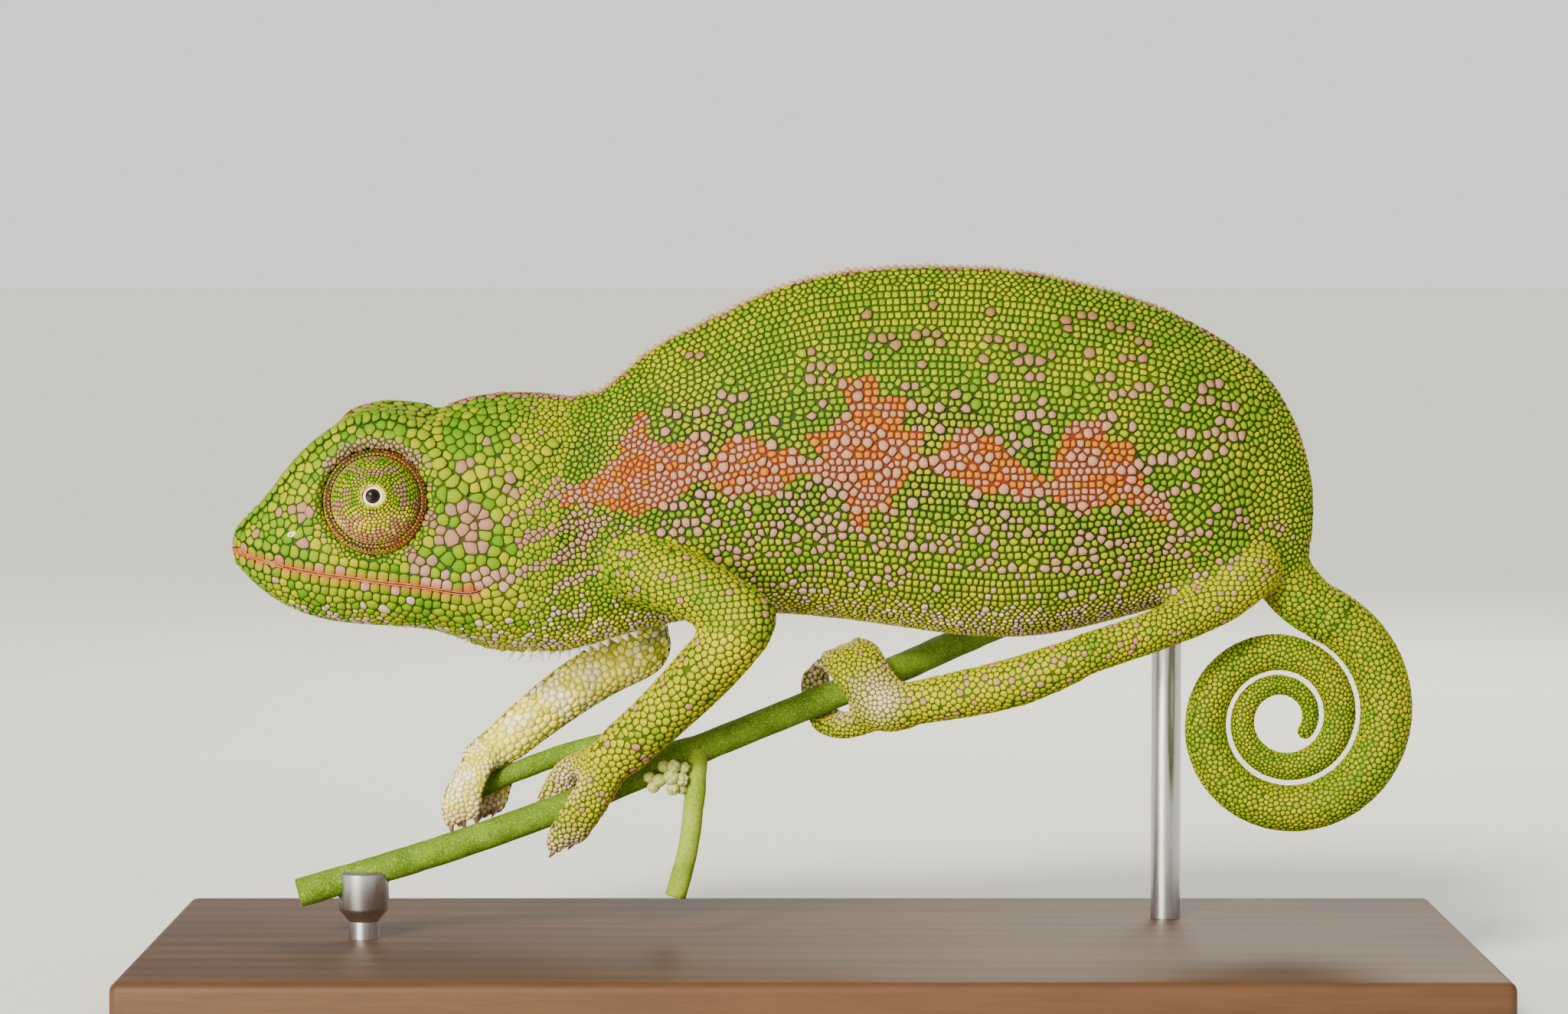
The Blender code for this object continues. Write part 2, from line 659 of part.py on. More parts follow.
def gular_cone(throat, x, share, collection):
    """One white cone under the throat, its root sunk in the flesh."""
    length = GULAR_LENGTH[0] + (GULAR_LENGTH[1] - GULAR_LENGTH[0]) * share
    foot, _ = line_at(throat, x)
    root = (foot[0] - GULAR_ROOT * GULAR_LEAN, 0.0, foot[2] + GULAR_ROOT)
    return cone("gular", root, (GULAR_LEAN, 0.0, -1.0), length + GULAR_ROOT, GULAR_RADIUS, CONE_SIDES,
                collection)


def make_neck(parts):
    neck = trunk("neck", NECK_STATIONS, parts)
    throat = [(row[2], 0.0, row[3]) for row in NECK_STATIONS]
    cones = []
    for i, x in enumerate(np.linspace(*NECK_GULAR_X, NECK_GULAR_CONES)):
        share = (GULAR_CONES - NECK_GULAR_CONES + i) / GULAR_CONES
        cones.append(gular_cone(throat, x, share, parts))
    combine(neck, cones, "UNION")
    return neck


def make_torso(parts):
    torso = trunk("torso", TORSO_STATIONS, parts)
    plain = trunk("torso plain", TORSO_STATIONS, parts)
    back = [(row[0], 0.0, row[1]) for row in TORSO_STATIONS[:DORSAL_STATIONS]]
    cones = []
    for i, x in enumerate(np.linspace(DORSAL_START_X, DORSAL_END_X, DORSAL_CONES)):
        share = i / (DORSAL_CONES - 1)
        length = DORSAL_LENGTH[0] + (DORSAL_LENGTH[1] - DORSAL_LENGTH[0]) * share
        foot, along = line_at(back, x)
        up = np.array((-along[2], 0.0, along[0]))
        root = foot - up * DORSAL_ROOT
        aim = up + along * DORSAL_LEAN
        cones.append(cone("dorsal", root, aim, length + DORSAL_ROOT, DORSAL_RADIUS, CONE_SIDES, parts))
    combine(torso, cones, "UNION")
    return torso, plain


def make_tail(parts):
    """Lengths of one smooth tail, each closed, with a thin flat cut between them."""

    def place(turns):
        reach = sum(c * turns**i for i, c in enumerate(TAIL_COIL_RADIUS))
        radius = sum(c * turns**i for i, c in enumerate(TAIL_RADIUS))
        angle = math.radians(TAIL_COIL_START) - turns * 2 * math.pi
        return (TAIL_COIL_CENTRE[0] + reach * math.cos(angle), TAIL_DRIFT[0] + TAIL_DRIFT[1] * turns,
                TAIL_COIL_CENTRE[1] + reach * math.sin(angle), radius)

    lead = spline([*TAIL_LEAD, place(0.0)], TAIL_LEAD_SAMPLES)
    count = round(TAIL_TURNS / TAIL_RING_STEP)
    coil = [place(t) for t in np.linspace(0.0, TAIL_TURNS, count + 1)[1:]]
    places = places_along(np.array([*lead, *coil]))
    tip = len(places) - 1
    rings = rings_round([*places, *dome(places[tip], 1, TAIL_CAP)], TAIL_SIDES)
    first = len(lead) - 1
    cuts = [0, *[first + round(turns / TAIL_RING_STEP) for turns in TAIL_CUTS], tip]
    for i, (start, end) in enumerate(zip(cuts, cuts[1:])):
        length = [np.array(ring) for ring in (rings[start:] if end == tip else rings[start : end + 1])]
        length[0] = length[0] + places[start][1] * GAP / 2
        if end != tip:
            length[-1] = length[-1] - places[end][1] * GAP / 2
        loft(f"tail_{i + 1}", length, parts)
    return parts.objects["tail_1"]


def make_limbs(parts, cutters, torso_plain, neck, tail_root):
    """Each segment keeps clear of what it grows from, so that they meet face to face."""
    roots = {"upper": "trunk", "thigh": "trunk", "fore": "upper", "shank": "thigh"}
    plain = {}
    for name, rows in LIMBS.items():
        limb = tube(name, rows, LIMB_SIDES, LIMB_SAMPLES, parts)
        plain[name] = grown_copy(limb, GAP, cutters)
        kind = name.rsplit("_", 1)[1]
        if roots[kind] == "trunk":
            cut = [grown_copy(torso_plain, GAP, cutters)]
            cut.append(grown_copy(neck if kind == "upper" else tail_root, GAP, cutters))
        else:
            cut = [plain[name.rsplit("_", 1)[0] + "_" + roots[kind]]]
        combine(limb, cut, "DIFFERENCE")
    return plain


def make_foot(name, plan, parts, cutters, limb_cutters, stems):
    """A palm with two opposed bundles of toes that close round the stem."""
    _, along = line_at(STEM_POINTS, plan["palm"][1][0])
    palm = tube(name, plan["palm"], LIMB_SIDES, LIMB_SAMPLES, parts)
    pieces = []
    for count, spacing, rows, claw_aim in plan["bundles"]:
        for i in range(count):
            shift = (i - (count - 1) / 2) * spacing
            toe = [(x + along[0] * shift * fan, y + along[1] * shift * fan, z + along[2] * shift * fan, r)
                   for (x, y, z, r), fan in zip(rows, np.linspace(TOE_FAN, 1.0, len(rows)))]
            pieces.append(tube("toe", toe, TOE_SIDES, TOE_SAMPLES, parts, cap=TOE_CAP))
            tip, thick = np.array(toe[-1][:3]), toe[-1][3]
            aim = np.array(claw_aim) / np.linalg.norm(claw_aim)
            pieces.append(cone("claw", tip + aim * thick * CLAW_ROOT, aim, CLAW_LENGTH + thick * CLAW_REACH,
                               CLAW_RADIUS, CONE_SIDES, parts))
    combine(palm, pieces, "UNION")
    cut = [grown_copy(stem, GAP, cutters) for stem in stems]
    cut += [limb_cutters[limb] for limb in plan["clear_of"]]
    combine(palm, cut, "DIFFERENCE")


def make_perch(parts, cutters):
    line = [(*p, STEM_RADIUS) for p in STEM_POINTS]
    stem = tube("perch_stem", line, STEM_SIDES, TRUNK_SAMPLES, parts, flat_ends=True)
    combine(stem, [ball("knot", STEM_NODE, STEM_NODE_RADIUS, parts)], "UNION")
    twig = tube("perch_twig", TWIG_ROWS, TWIG_SIDES, HEAD_SAMPLES, parts)
    combine(twig, [grown_copy(stem, GAP, cutters)], "DIFFERENCE")
    shoot = tube("perch_shoot", SHOOT_ROWS, TWIG_SIDES, HEAD_SAMPLES, parts)
    buds = []
    for i in range(BUDS):
        reach = BUD_REACH[0] + BUD_REACH[1] * i
        x, y, z = BUD_CENTRE
        centre = (x + reach * math.cos(i * BUD_TURN), y - BUD_DEPTH[0] * math.sin(i * BUD_DEPTH[1]),
                  z + reach * BUD_HEIGHT * math.sin(i * BUD_TURN))
        buds.append(ball("bud", centre, BUD_RADIUS, parts, 1))
    combine(shoot, buds, "UNION")
    combine(shoot, [grown_copy(stem, GAP, cutters)], "DIFFERENCE")
    return stem, twig


def make_stand(parts, cutters, stem):
    def slab(grid):
        bmesh.ops.create_cube(grid, size=1.0)
        size = Vector((BASE_LENGTH, BASE_WIDTH, BASE_HEIGHT)) * MM
        bmesh.ops.scale(grid, verts=grid.verts, vec=size)
        bmesh.ops.translate(grid, verts=grid.verts, vec=(0, 0, size.z / 2))
        top = [e for e in grid.edges if all(v.co.z > size.z / 2 for v in e.verts)]
        upright = [e for e in grid.edges if abs(e.verts[0].co.z - e.verts[1].co.z) > size.z / 2]
        bmesh.ops.bevel(grid, geom=top + upright, offset=BASE_BEVEL * MM, segments=2,
                        profile=0.5, affect="EDGES")

    mesh_object("stand_base", slab, parts)
    for name, x in ROD_X.items():
        centre, _ = line_at(STEM_POINTS, x)
        floor = BASE_HEIGHT + GAP
        top = centre[2] + CRADLE_LIP
        cup = top - CRADLE_HEIGHT
        profile = [(0.0, top), (CRADLE_RADIUS, top), (CRADLE_RADIUS, cup + CRADLE_TAPER), (ROD_RADIUS, cup),
                   (ROD_RADIUS, floor), (0.0, floor)]
        if cup <= floor:
            profile = [(0.0, top), (CRADLE_RADIUS, top), (CRADLE_RADIUS, floor), (0.0, floor)]
        rod = turned(name, profile, ROD_STEPS, parts)
        rod.location = Vector((x, centre[1], 0.0)) * MM
        bpy.context.view_layer.update()
        apply_modifiers(rod)
        combine(rod, [grown_copy(stem, GAP, cutters)], "DIFFERENCE")


def colour_parts(parts):
    """Every node has a material of its own."""
    finishes = (
        ("stand_base", (0.10, 0.055, 0.03), 0.45, 0.0),
        ("stand_rod", (0.30, 0.30, 0.31), 0.35, 1.0),
        ("perch", (0.22, 0.36, 0.10), 0.7, 0.0),
        ("eye_turret", (0.35, 0.30, 0.10), 0.6, 0.0),
        ("eye_", (0.03, 0.02, 0.02), 0.1, 0.0),
        ("hand_right", (0.62, 0.66, 0.36), 0.6, 0.0),
        ("", (0.22, 0.40, 0.04), 0.55, 0.0),
    )
    for thing in parts.objects:
        colour, roughness, metallic = next(f[1:] for f in finishes if thing.name.startswith(f[0]))
        thing.data.materials.clear()
        thing.data.materials.append(new_material(thing.name, colour, roughness, metallic))
        thing.data.shade_smooth()


def main():
    clear_scene()
    parts = new_collection(PARTS)
    cutters = new_collection(CUTTERS)
    make_head(parts, cutters)
    neck = make_neck(parts)
    torso, torso_plain = make_torso(parts)
    tail_root = make_tail(parts)
    stem, twig = make_perch(parts, cutters)
    limb_cutters = make_limbs(parts, cutters, torso_plain, neck, tail_root)
    for name, plan in FEET.items():
        make_foot(name, plan, parts, cutters, limb_cutters, (stem, twig))
    make_stand(parts, cutters, stem)
    bpy.data.objects.remove(torso_plain, do_unlink=True)
    for left in list(cutters.objects):
        bpy.data.objects.remove(left, do_unlink=True)
    colour_parts(parts)


main()
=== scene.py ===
import math
import time

import bmesh
import bpy
import numpy as np
from mathutils import Matrix, Vector, noise
from mathutils.bvhtree import BVHTree
from mathutils.kdtree import KDTree


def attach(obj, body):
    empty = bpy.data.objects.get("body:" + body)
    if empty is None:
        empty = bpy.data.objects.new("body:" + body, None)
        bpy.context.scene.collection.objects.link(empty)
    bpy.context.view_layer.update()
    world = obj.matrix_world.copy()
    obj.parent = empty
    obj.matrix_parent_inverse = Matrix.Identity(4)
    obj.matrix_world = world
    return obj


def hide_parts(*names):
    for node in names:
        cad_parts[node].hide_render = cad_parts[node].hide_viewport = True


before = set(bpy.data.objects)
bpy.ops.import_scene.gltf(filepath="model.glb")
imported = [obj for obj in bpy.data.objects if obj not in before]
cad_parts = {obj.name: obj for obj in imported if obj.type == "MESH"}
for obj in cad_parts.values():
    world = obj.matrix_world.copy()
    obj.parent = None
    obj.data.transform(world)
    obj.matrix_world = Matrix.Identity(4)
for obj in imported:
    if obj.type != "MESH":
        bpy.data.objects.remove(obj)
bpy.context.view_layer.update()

# A carpet chameleon on a cut stem. Lengths here are millimetres, and metres once a mesh is made.
# The animal faces -X, and its left side, which the camera sees, is towards -Y.
mm = 0.001
started = time.time()
rng = np.random.default_rng(11)
sides = {"left": -1, "right": 1}


def report(stage):
    print(f"{stage}, {time.time() - started:.1f} s")


# Shader maths: a Wire is one socket, and sums on it add Math nodes
class Wire:
    def __init__(self, finish, socket):
        self.finish = finish
        self.socket = socket

    def maths(self, operation, first, second):
        return self.finish.node("Math", {"operation": operation}, {0: first, 1: second})

    def __add__(self, other):
        return self.maths("ADD", self, other)

    __radd__ = __add__

    def __sub__(self, other):
        return self.maths("SUBTRACT", self, other)

    def __rsub__(self, other):
        return self.maths("SUBTRACT", other, self)

    def __mul__(self, other):
        return self.maths("MULTIPLY", self, other)

    __rmul__ = __mul__

    def __truediv__(self, other):
        return self.maths("DIVIDE", self, other)

    def over(self, edge, soft):
        # 0 below the edge and 1 above it, with a soft step
        return self.finish.node("MapRange", {"interpolation_type": "SMOOTHSTEP"},
                                {"Value": self, "From Min": edge - soft, "From Max": edge + soft})


class Finish:
    def __init__(self, name, roughness=0.5, metallic=0.0, constants=None):
        self.material = bpy.data.materials.new(name)
        self.material.use_nodes = True
        self.tree = self.material.node_tree
        self.shader = self.tree.nodes["Principled BSDF"]
        self.shader.inputs["Roughness"].default_value = roughness
        self.shader.inputs["Metallic"].default_value = metallic
        for socket, value in (constants or {}).items():
            self.shader.inputs[socket].default_value = value

    def plug(self, value, socket):
        if isinstance(value, Wire):
            self.tree.links.new(value.socket, socket)
        elif socket.type == "RGBA":
            socket.default_value = (*value[:3], 1.0)
        else:
            socket.default_value = value

    def node(self, kind, settings=None, inputs=None, output=0):
        made = self.tree.nodes.new("ShaderNode" + kind)
        for key, value in (settings or {}).items():
            setattr(made, key, value)
        for key, value in (inputs or {}).items():
            self.plug(value, made.inputs[key])
        return Wire(self, made.outputs[output])

    def blend(self, first, second, share, mode="MIX"):
        settings = {"data_type": "RGBA", "blend_type": mode, "clamp_factor": True}
        return self.node("Mix", settings, {0: share, 6: first, 7: second}, 2)

    def place(self):
        return self.node("TexCoord", output="Object")

    def noise(self, size, detail=2.0, place=None, roughness=0.5):
        # size is that of the pattern in millimetres
        inputs = {"Vector": place or self.place(), "Scale": 1 / (size * mm), "Detail": detail,
                  "Roughness": roughness}
        return self.node("TexNoise", None, inputs)

    def cells(self, size):
        return self.node("TexVoronoi", None, {"Vector": self.place(), "Scale": 1 / (size * mm)})

    def attribute(self, name):
        return self.node("Attribute", {"attribute_name": name}, output="Fac")

    def colour(self, value):
        self.plug(value, self.shader.inputs["Base Color"])

    def rough(self, value):
        self.plug(value, self.shader.inputs["Roughness"])

    def bump(self, height, depth):
        # depth in millimetres for a height that runs from 0 to 1
        made = self.node("Bump", None, {"Height": height, "Distance": depth * mm, "Strength": 1.0})
        self.plug(made, self.shader.inputs["Normal"])


# Small tools for shapes
weld = 0.000001  # metres
far = 1e3        # millimetres, past everything


def curveThrough(rows, samples):
    rows = np.array(rows, float)
    ends = np.vstack((2 * rows[0] - rows[1], rows, 2 * rows[-1] - rows[-2]))
    made = []
    for i in range(1, len(ends) - 2):
        a, b, c, d = ends[i - 1:i + 3]
        for t in np.arange(samples) / samples:
            made.append(0.5 * (2 * b + (c - a) * t + (2 * a - 5 * b + 4 * c - d) * t ** 2
                               + (3 * b - a - 3 * c + d) * t ** 3))
    made.append(rows[-1])
    return np.array(made)


def unit(rows):
    return rows / np.maximum(np.linalg.norm(rows, axis=-1, keepdims=True), 1e-9)


def meshOf(grid, name, flat=False):
    mesh = bpy.data.meshes.new(name)
    grid.to_mesh(mesh)
    grid.free()
    if not flat:
        mesh.shade_smooth()
    return mesh


def linked(name, data):
    made = bpy.data.objects.new(name, data)
    bpy.context.scene.collection.objects.link(made)
    return made


def finalMesh(thing):
    # an object's mesh with its modifiers applied, in place of the object
    seen = thing.evaluated_get(bpy.context.evaluated_depsgraph_get())
    mesh = bpy.data.meshes.new_from_object(seen)
    bpy.data.objects.remove(thing, do_unlink=True)
    return mesh


def addPiece(name, mesh, material, replaced=()):
    mesh.materials.clear()
    mesh.materials.append(material)
    made = linked(name, mesh)
    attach(made, "root")
    if replaced:
        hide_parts(*replaced)
    return made


def addAttribute(mesh, name, values):
    mesh.attributes.new(name, "FLOAT", "POINT").data.foreach_set("value", np.asarray(values, np.float32))


def cloud(points, size, seed):
    # smooth noise of about -1 to 1 over the points, its pattern of that size in millimetres
    shift = Vector((seed * 17.3, seed * 5.1, seed * 9.7))
    return np.array([noise.noise(Vector(p) / size + shift) for p in points]) * 2


def smoothed(grid, verts):
    bmesh.ops.smooth_vert(grid, verts=verts, factor=0.5, use_axis_x=True, use_axis_y=True, use_axis_z=True)


def turned(profile, steps):
    # turns a line of radius and height round Z
    grid = bmesh.new()
    line = [grid.verts.new((r * mm, 0, h * mm)) for r, h in profile]
    edges = [grid.edges.new(pair) for pair in zip(line, line[1:])]
    bmesh.ops.spin(grid, geom=line + edges, cent=(0, 0, 0), axis=(0, 0, 1), dvec=(0, 0, 0),
                   angle=2 * math.pi, steps=steps, use_merge=True, use_duplicate=False)
    bmesh.ops.remove_doubles(grid, verts=grid.verts, dist=weld)
    bmesh.ops.recalc_face_normals(grid, faces=grid.faces)
    return grid


def treeOf(places):
    tree = KDTree(len(places))
    for index, place in enumerate(places):
        tree.insert(place, index)
    tree.balance()
    return tree


def starts(names, *words):
    return np.logical_or.reduce([np.char.startswith(names, word) for word in words])


def ringTube(grid, rows, segments):
    # extrudes a circle along rows of x, y, z and radius, all in millimetres
    points, radii = rows[:, :3], rows[:, 3]
    along = unit(np.gradient(points, axis=0))
    turn = Vector(along[0]).to_track_quat("Z", "Y").to_matrix().to_4x4()
    ring = bmesh.ops.create_circle(grid, segments=segments, radius=1.0)["verts"]
    shape = [v.co.copy() for v in ring]
    edges = list(dict.fromkeys(e for v in ring for e in v.link_edges))
    first = ring
    for i, (point, radius) in enumerate(zip(points, radii)):
        if i:
            turn = Vector(along[i - 1]).rotation_difference(Vector(along[i])).to_matrix().to_4x4() @ turn
            made = bmesh.ops.extrude_edge_only(grid, edges=edges)["geom"]
            ring = [g for g in made if isinstance(g, bmesh.types.BMVert)]
            edges = [g for g in made if isinstance(g, bmesh.types.BMEdge)]
            shape = [last.inverted() @ v.co for v in ring]
        last = Matrix.Translation(Vector(point) * mm) @ turn @ Matrix.Scale(radius * mm, 4)
        for v, corner in zip(ring, shape):
            v.co = last @ corner
    for loop in (first, ring):
        face = grid.faces.new(sorted(loop, key=lambda v: ringAngle(v.co, loop)))
        face.smooth = False
    bmesh.ops.recalc_face_normals(grid, faces=grid.faces)


def ringAngle(point, loop):
    middle = sum((v.co for v in loop), Vector()) / len(loop)
    across = (loop[0].co - middle).normalized()
    axis = across.cross(loop[len(loop) // 4].co - middle).normalized()
    spoke = point - middle
    return math.atan2(spoke.dot(axis.cross(across)), spoke.dot(across))


# The skin: every node of flesh grown, fused by a voxel remesh, smoothed and drawn in under the scales
skinPlan = {
    "grow": 0.2,
    "voxel": 0.42,
    "coatDepth": 0.2,
    "passes": {"trunk": 16, "limb": 9, "toes": 3},
}
groups = {"trunk": ("head", "neck", "torso"), "toes": ("hand", "foot")}
fleshNodes = [n for n in sorted(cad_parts)
              if n.split("_")[0] in ("head", "neck", "torso", "tail", "arm", "leg", "hand", "foot")]


# The stem's middle, then for each hand or foot: x of its palm, and for each bundle of toes its count,
# spacing, the middle toe's tip and radius, and the way that the claws point
stemRows = ((-50.3, -0.9, 10.5), (-37.5, -0.4, 14.3), (-24.6, 0.0, 18.8), (-12.0, 0.6, 24.1),
            (2.3, 2.0, 29.8), (9.8, 4.6, 32.6), (18.0, 9.0, 35.8), (30.0, 12.2, 40.3), (42.0, 14.2, 44.9),
            (50.0, 15.0, 47.8))
toes = {
    "hand_left": (-20.3, (2, 2.0, (-24.0, -3.0, 16.2), 1.4, (-0.35, 0.45, -1.0)),
                  (3, 1.3, (-25.4, 3.2, 18.4), 1.2, (-0.1, -0.75, -1.0))),
    "hand_right": (-32.0, (3, 1.3, (-34.6, 3.9, 17.6), 1.0, (0.1, 0.5, -1.0)),
                   (2, 1.5, (-32.2, 8.0, 17.8), 1.1, (-0.2, -1.0, -0.5))),
    "foot_left": (7.5, (3, 1.6, (3.3, 1.7, 33.7), 1.5, (-0.7, 0.9, -0.5)),
                  (2, 1.4, (0.5, 4.8, 31.6), 1.0, (0.3, -0.2, 1.0))),
    "foot_right": (27.2, (3, 1.3, (26.2, 12.8, 36.8), 1.0, (-0.1, -1.0, -0.2)),
                   (2, 1.4, (25.0, 8.7, 37.2), 1.0, (0.0, 0.9, -0.6))),
}


def clawPlaces():
    # foot of each claw, the way it points and the way it curves
    rows = []
    dense = curveThrough(stemRows, 12)
    for palmX, *bundles in toes.values():
        spot = int(np.argmin(abs(dense[:, 0] - palmX)))
        along = unit(dense[spot + 1] - dense[spot])
        for count, gap, tip, radius, aim in bundles:
            for i in range(count):
                way = unit(np.array(aim, float))
                foot = np.array(tip) + along * (i - (count - 1) / 2) * gap + way * radius * 0.75
                inward = dense[np.argmin(np.linalg.norm(dense - foot, axis=1))] - foot
                rows.append((foot, way, unit(inward)))
    return rows


def mergedNode(name):
    grid = bmesh.new()
    grid.from_mesh(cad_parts[name].data)
    bmesh.ops.remove_doubles(grid, verts=grid.verts, dist=weld)
    grid.normal_update()
    return grid


def nodeTree():
    # a search tree over the nodes of flesh, in millimetres, and the node of each of its faces
    corners, faces, owner = [], [], []
    for index, name in enumerate(fleshNodes):
        grid = mergedNode(name)
        start = len(corners)
        grid.verts.index_update()
        corners += [v.co / mm for v in grid.verts]
        for face in grid.faces:
            faces.append([start + v.index for v in face.verts])
            owner.append(index)
        grid.free()
    return BVHTree.FromPolygons(corners, faces), np.array(owner)


# The tail's turns lie too close to be remeshed, so past its first length it is a tube along its coil
tail = {
    "centre": (46.4, 27.5),
    "start": 60.0,
    "turns": 2.25,
    "reach": (11.0, -5.65, 0.85),
    "radius": (2.8, -1.2, 0.13),
    "drift": (0.5, 0.35),
    "lead": ((50.0, 0.42, 38.08, 2.9), (50.9, 0.46, 37.6, 2.86)),  # inside the first length
    "stride": 0.008,
    "segments": 36,
}


def tailRow(turns):
    # x, y, z and radius of the tail where the coil has made that many turns
    reach = sum(c * turns ** i for i, c in enumerate(tail["reach"]))
    radius = sum(c * turns ** i for i, c in enumerate(tail["radius"]))
    angle = math.radians(tail["start"]) - turns * 2 * math.pi
    return (tail["centre"][0] + reach * math.cos(angle), tail["drift"][0] + tail["drift"][1] * turns,
            tail["centre"][1] + reach * math.sin(angle), radius)


def addTail(grid):
    coil = [tailRow(t) for t in np.arange(0, tail["turns"], tail["stride"])]
    rows = np.array([*tail["lead"], *coil])
    rows[:, 3] -= skinPlan["coatDepth"] * np.linspace(1, 0.5, len(rows))
    tip, before = rows[-1].copy(), rows[-2].copy()
    onward = (tip - before)[:3] / np.linalg.norm((tip - before)[:3])
    for angle in (25, 50, 70, 84):
        turn = math.radians(angle)
        rows = np.vstack((rows, (*(tip[:3] + onward * tip[3] * math.sin(turn)), tip[3] * math.cos(turn))))
    tube = bmesh.new()
    ringTube(tube, rows, tail["segments"])
    grid.from_mesh(meshOf(tube, "tailTube"))


def fusedSkin():
    grid = bmesh.new()
    for name in fleshNodes:
        if name.startswith("tail") and name != "tail_1":
            continue
        piece = mergedNode(name)
        moved = [v.co + v.normal * skinPlan["grow"] * mm for v in piece.verts]
        for v, co in zip(piece.verts, moved):
            v.co = co
        mesh = meshOf(piece, "grown")
        grid.from_mesh(mesh)
        bpy.data.meshes.remove(mesh)
    raw = linked("raw", meshOf(grid, "raw"))
    remesh = raw.modifiers.new("fuse", "REMESH")
    remesh.mode = "VOXEL"
    remesh.voxel_size = skinPlan["voxel"] * mm
    grid = bmesh.new()
    grid.from_mesh(finalMesh(raw))
    keepLargest(grid)
    return grid


def keepLargest(grid):
    left = set(grid.verts)
    best = set()
    while left:
        seed = left.pop()
        shell, edge = {seed}, [seed]
        while edge:
            v = edge.pop()
            for e in v.link_edges:
                other = e.other_vert(v)
                if other in left:
                    left.discard(other)
                    shell.add(other)
                    edge.append(other)
        if len(shell) > len(best):
            best = shell
    bmesh.ops.delete(grid, geom=[v for v in grid.verts if v not in best], context="VERTS")


def arrayOf(grid):
    return np.array([v.co for v in grid.verts]) / mm


def setPoints(grid, points):
    for v, co in zip(grid.verts, points):
        v.co = Vector(co) * mm


def searchTree(grid):
    grid.normal_update()
    return BVHTree.FromPolygons([v.co / mm for v in grid.verts],
                                [[v.index for v in f.verts] for f in grid.faces])


def ownersOf(points):
    # index of the node of flesh that each point lies nearest to
    return np.array([nodeOwner[nodes.find_nearest(Vector(p))[2]] for p in points])


nodes, nodeOwner = nodeTree()
skin = fusedSkin()
report(f"fused skin of {len(skin.faces)} faces")
skinOwner = ownersOf(arrayOf(skin))
kindOf = [next((k for k, words in groups.items() if name.split("_")[0] in words), "limb")
          for name in fleshNodes]
skinKind = np.array(kindOf)[skinOwner]
allVerts = list(skin.verts)
for turnNumber in range(max(skinPlan["passes"].values())):
    chosen = [v for v, kind in zip(allVerts, skinKind) if turnNumber < skinPlan["passes"][kind]]
    smoothed(skin, chosen)
skin.normal_update()
drawIn = skinPlan["grow"] + skinPlan["coatDepth"]
setPoints(skin, [v.co / mm - v.normal * drawIn for v in skin.verts])
addTail(skin)
skin.verts.index_update()
skin.normal_update()
skinOwner = ownersOf(arrayOf(skin))
report("smoothed skin")

# The eye turrets: middle of the widest ring, its height over the back, tilts, and the eyeball
turret = {
    "middle": (-42.2, 4.54, 49.15),
    "middleHeight": 2.8,
    "socketTilt": 4.0,
    "tilt": 11.0,
    "eyeDepth": 4.95,
    "eyeRadius": 1.82,
}
# Folds and ridges of the skin: lines of x, |y| and z, half width, and height (a groove is below 0)
mouthLine = ((-56.7, 0.4, 44.35), (-55.7, 2.2, 44.0), (-53.0, 3.8, 43.2), (-50.3, 4.8, 42.6),
             (-47.3, 5.5, 42.1), (-44.3, 6.0, 41.7), (-41.3, 6.3, 41.3), (-38.3, 6.5, 41.0),
             (-35.6, 6.5, 40.55), (-33.6, 6.5, 40.3), (-32.2, 6.5, 40.5), (-31.1, 6.5, 41.1))
browLine = ((-56.3, 0.6, 46.2), (-55.0, 1.9, 48.0), (-52.6, 2.9, 50.6), (-50.2, 3.5, 53.5),
            (-47.6, 3.9, 56.0), (-44.6, 4.3, 57.6), (-41.5, 4.6, 57.9), (-38.6, 4.9, 57.2))
templeLine = ((-38.6, 4.9, 57.2), (-36.6, 5.8, 54.6), (-35.4, 6.4, 52.0), (-33.4, 6.6, 50.6),
              (-30.0, 6.4, 51.3), (-26.6, 5.9, 53.2), (-24.6, 5.2, 55.4))
crownLine = ((-44.4, 0.0, 57.3), (-43.2, 0.0, 57.8), (-40.0, 0.0, 58.0), (-37.4, 0.0, 57.8),
             (-35.2, 0.0, 58.0), (-32.0, 0.0, 58.6), (-28.6, 0.0, 58.8), (-25.0, 0.0, 58.6),
             (-22.6, 0.0, 58.7))
snoutLine = ((-56.4, 0.0, 43.2), (-56.3, 0.0, 44.2), (-56.1, 0.0, 45.0))
dentLine = ((-36.3, 0.0, 58.2), (-36.6, 1.8, 58.2), (-37.6, 3.6, 57.8))
folds = (
    {"line": mouthLine, "width": 0.3, "rise": -0.42},
    {"line": browLine, "width": 0.8, "rise": 0.34},
    {"line": templeLine, "width": 0.9, "rise": 0.25},
    {"line": crownLine, "width": 1.5, "rise": 0.72},
    {"line": snoutLine, "width": 1.1, "rise": 0.3},
    {"line": dentLine, "width": 1.2, "rise": -0.6},
)
socketFold = {"radius": 5.75, "width": 0.42, "rise": 0.3}
stub = {"reach": 1.0, "length": 2.6, "height": 0.25}  # what is left of the claws that the nodes carry


def bluntToes(points):
    # draws the skin's own claws back to the ends of the toes
    for foot, way, inward in clawPlaces():
        away = points - foot
        out = away @ way
        beside = np.linalg.norm(away - out[:, None] * way, axis=1)
        own = (out > 0) & (out < stub["length"]) & (beside < stub["reach"])
        kept = stub["height"] * (1 - np.exp(-out / stub["height"]))
        points[own] -= way * (out - kept)[own, None]
    return points


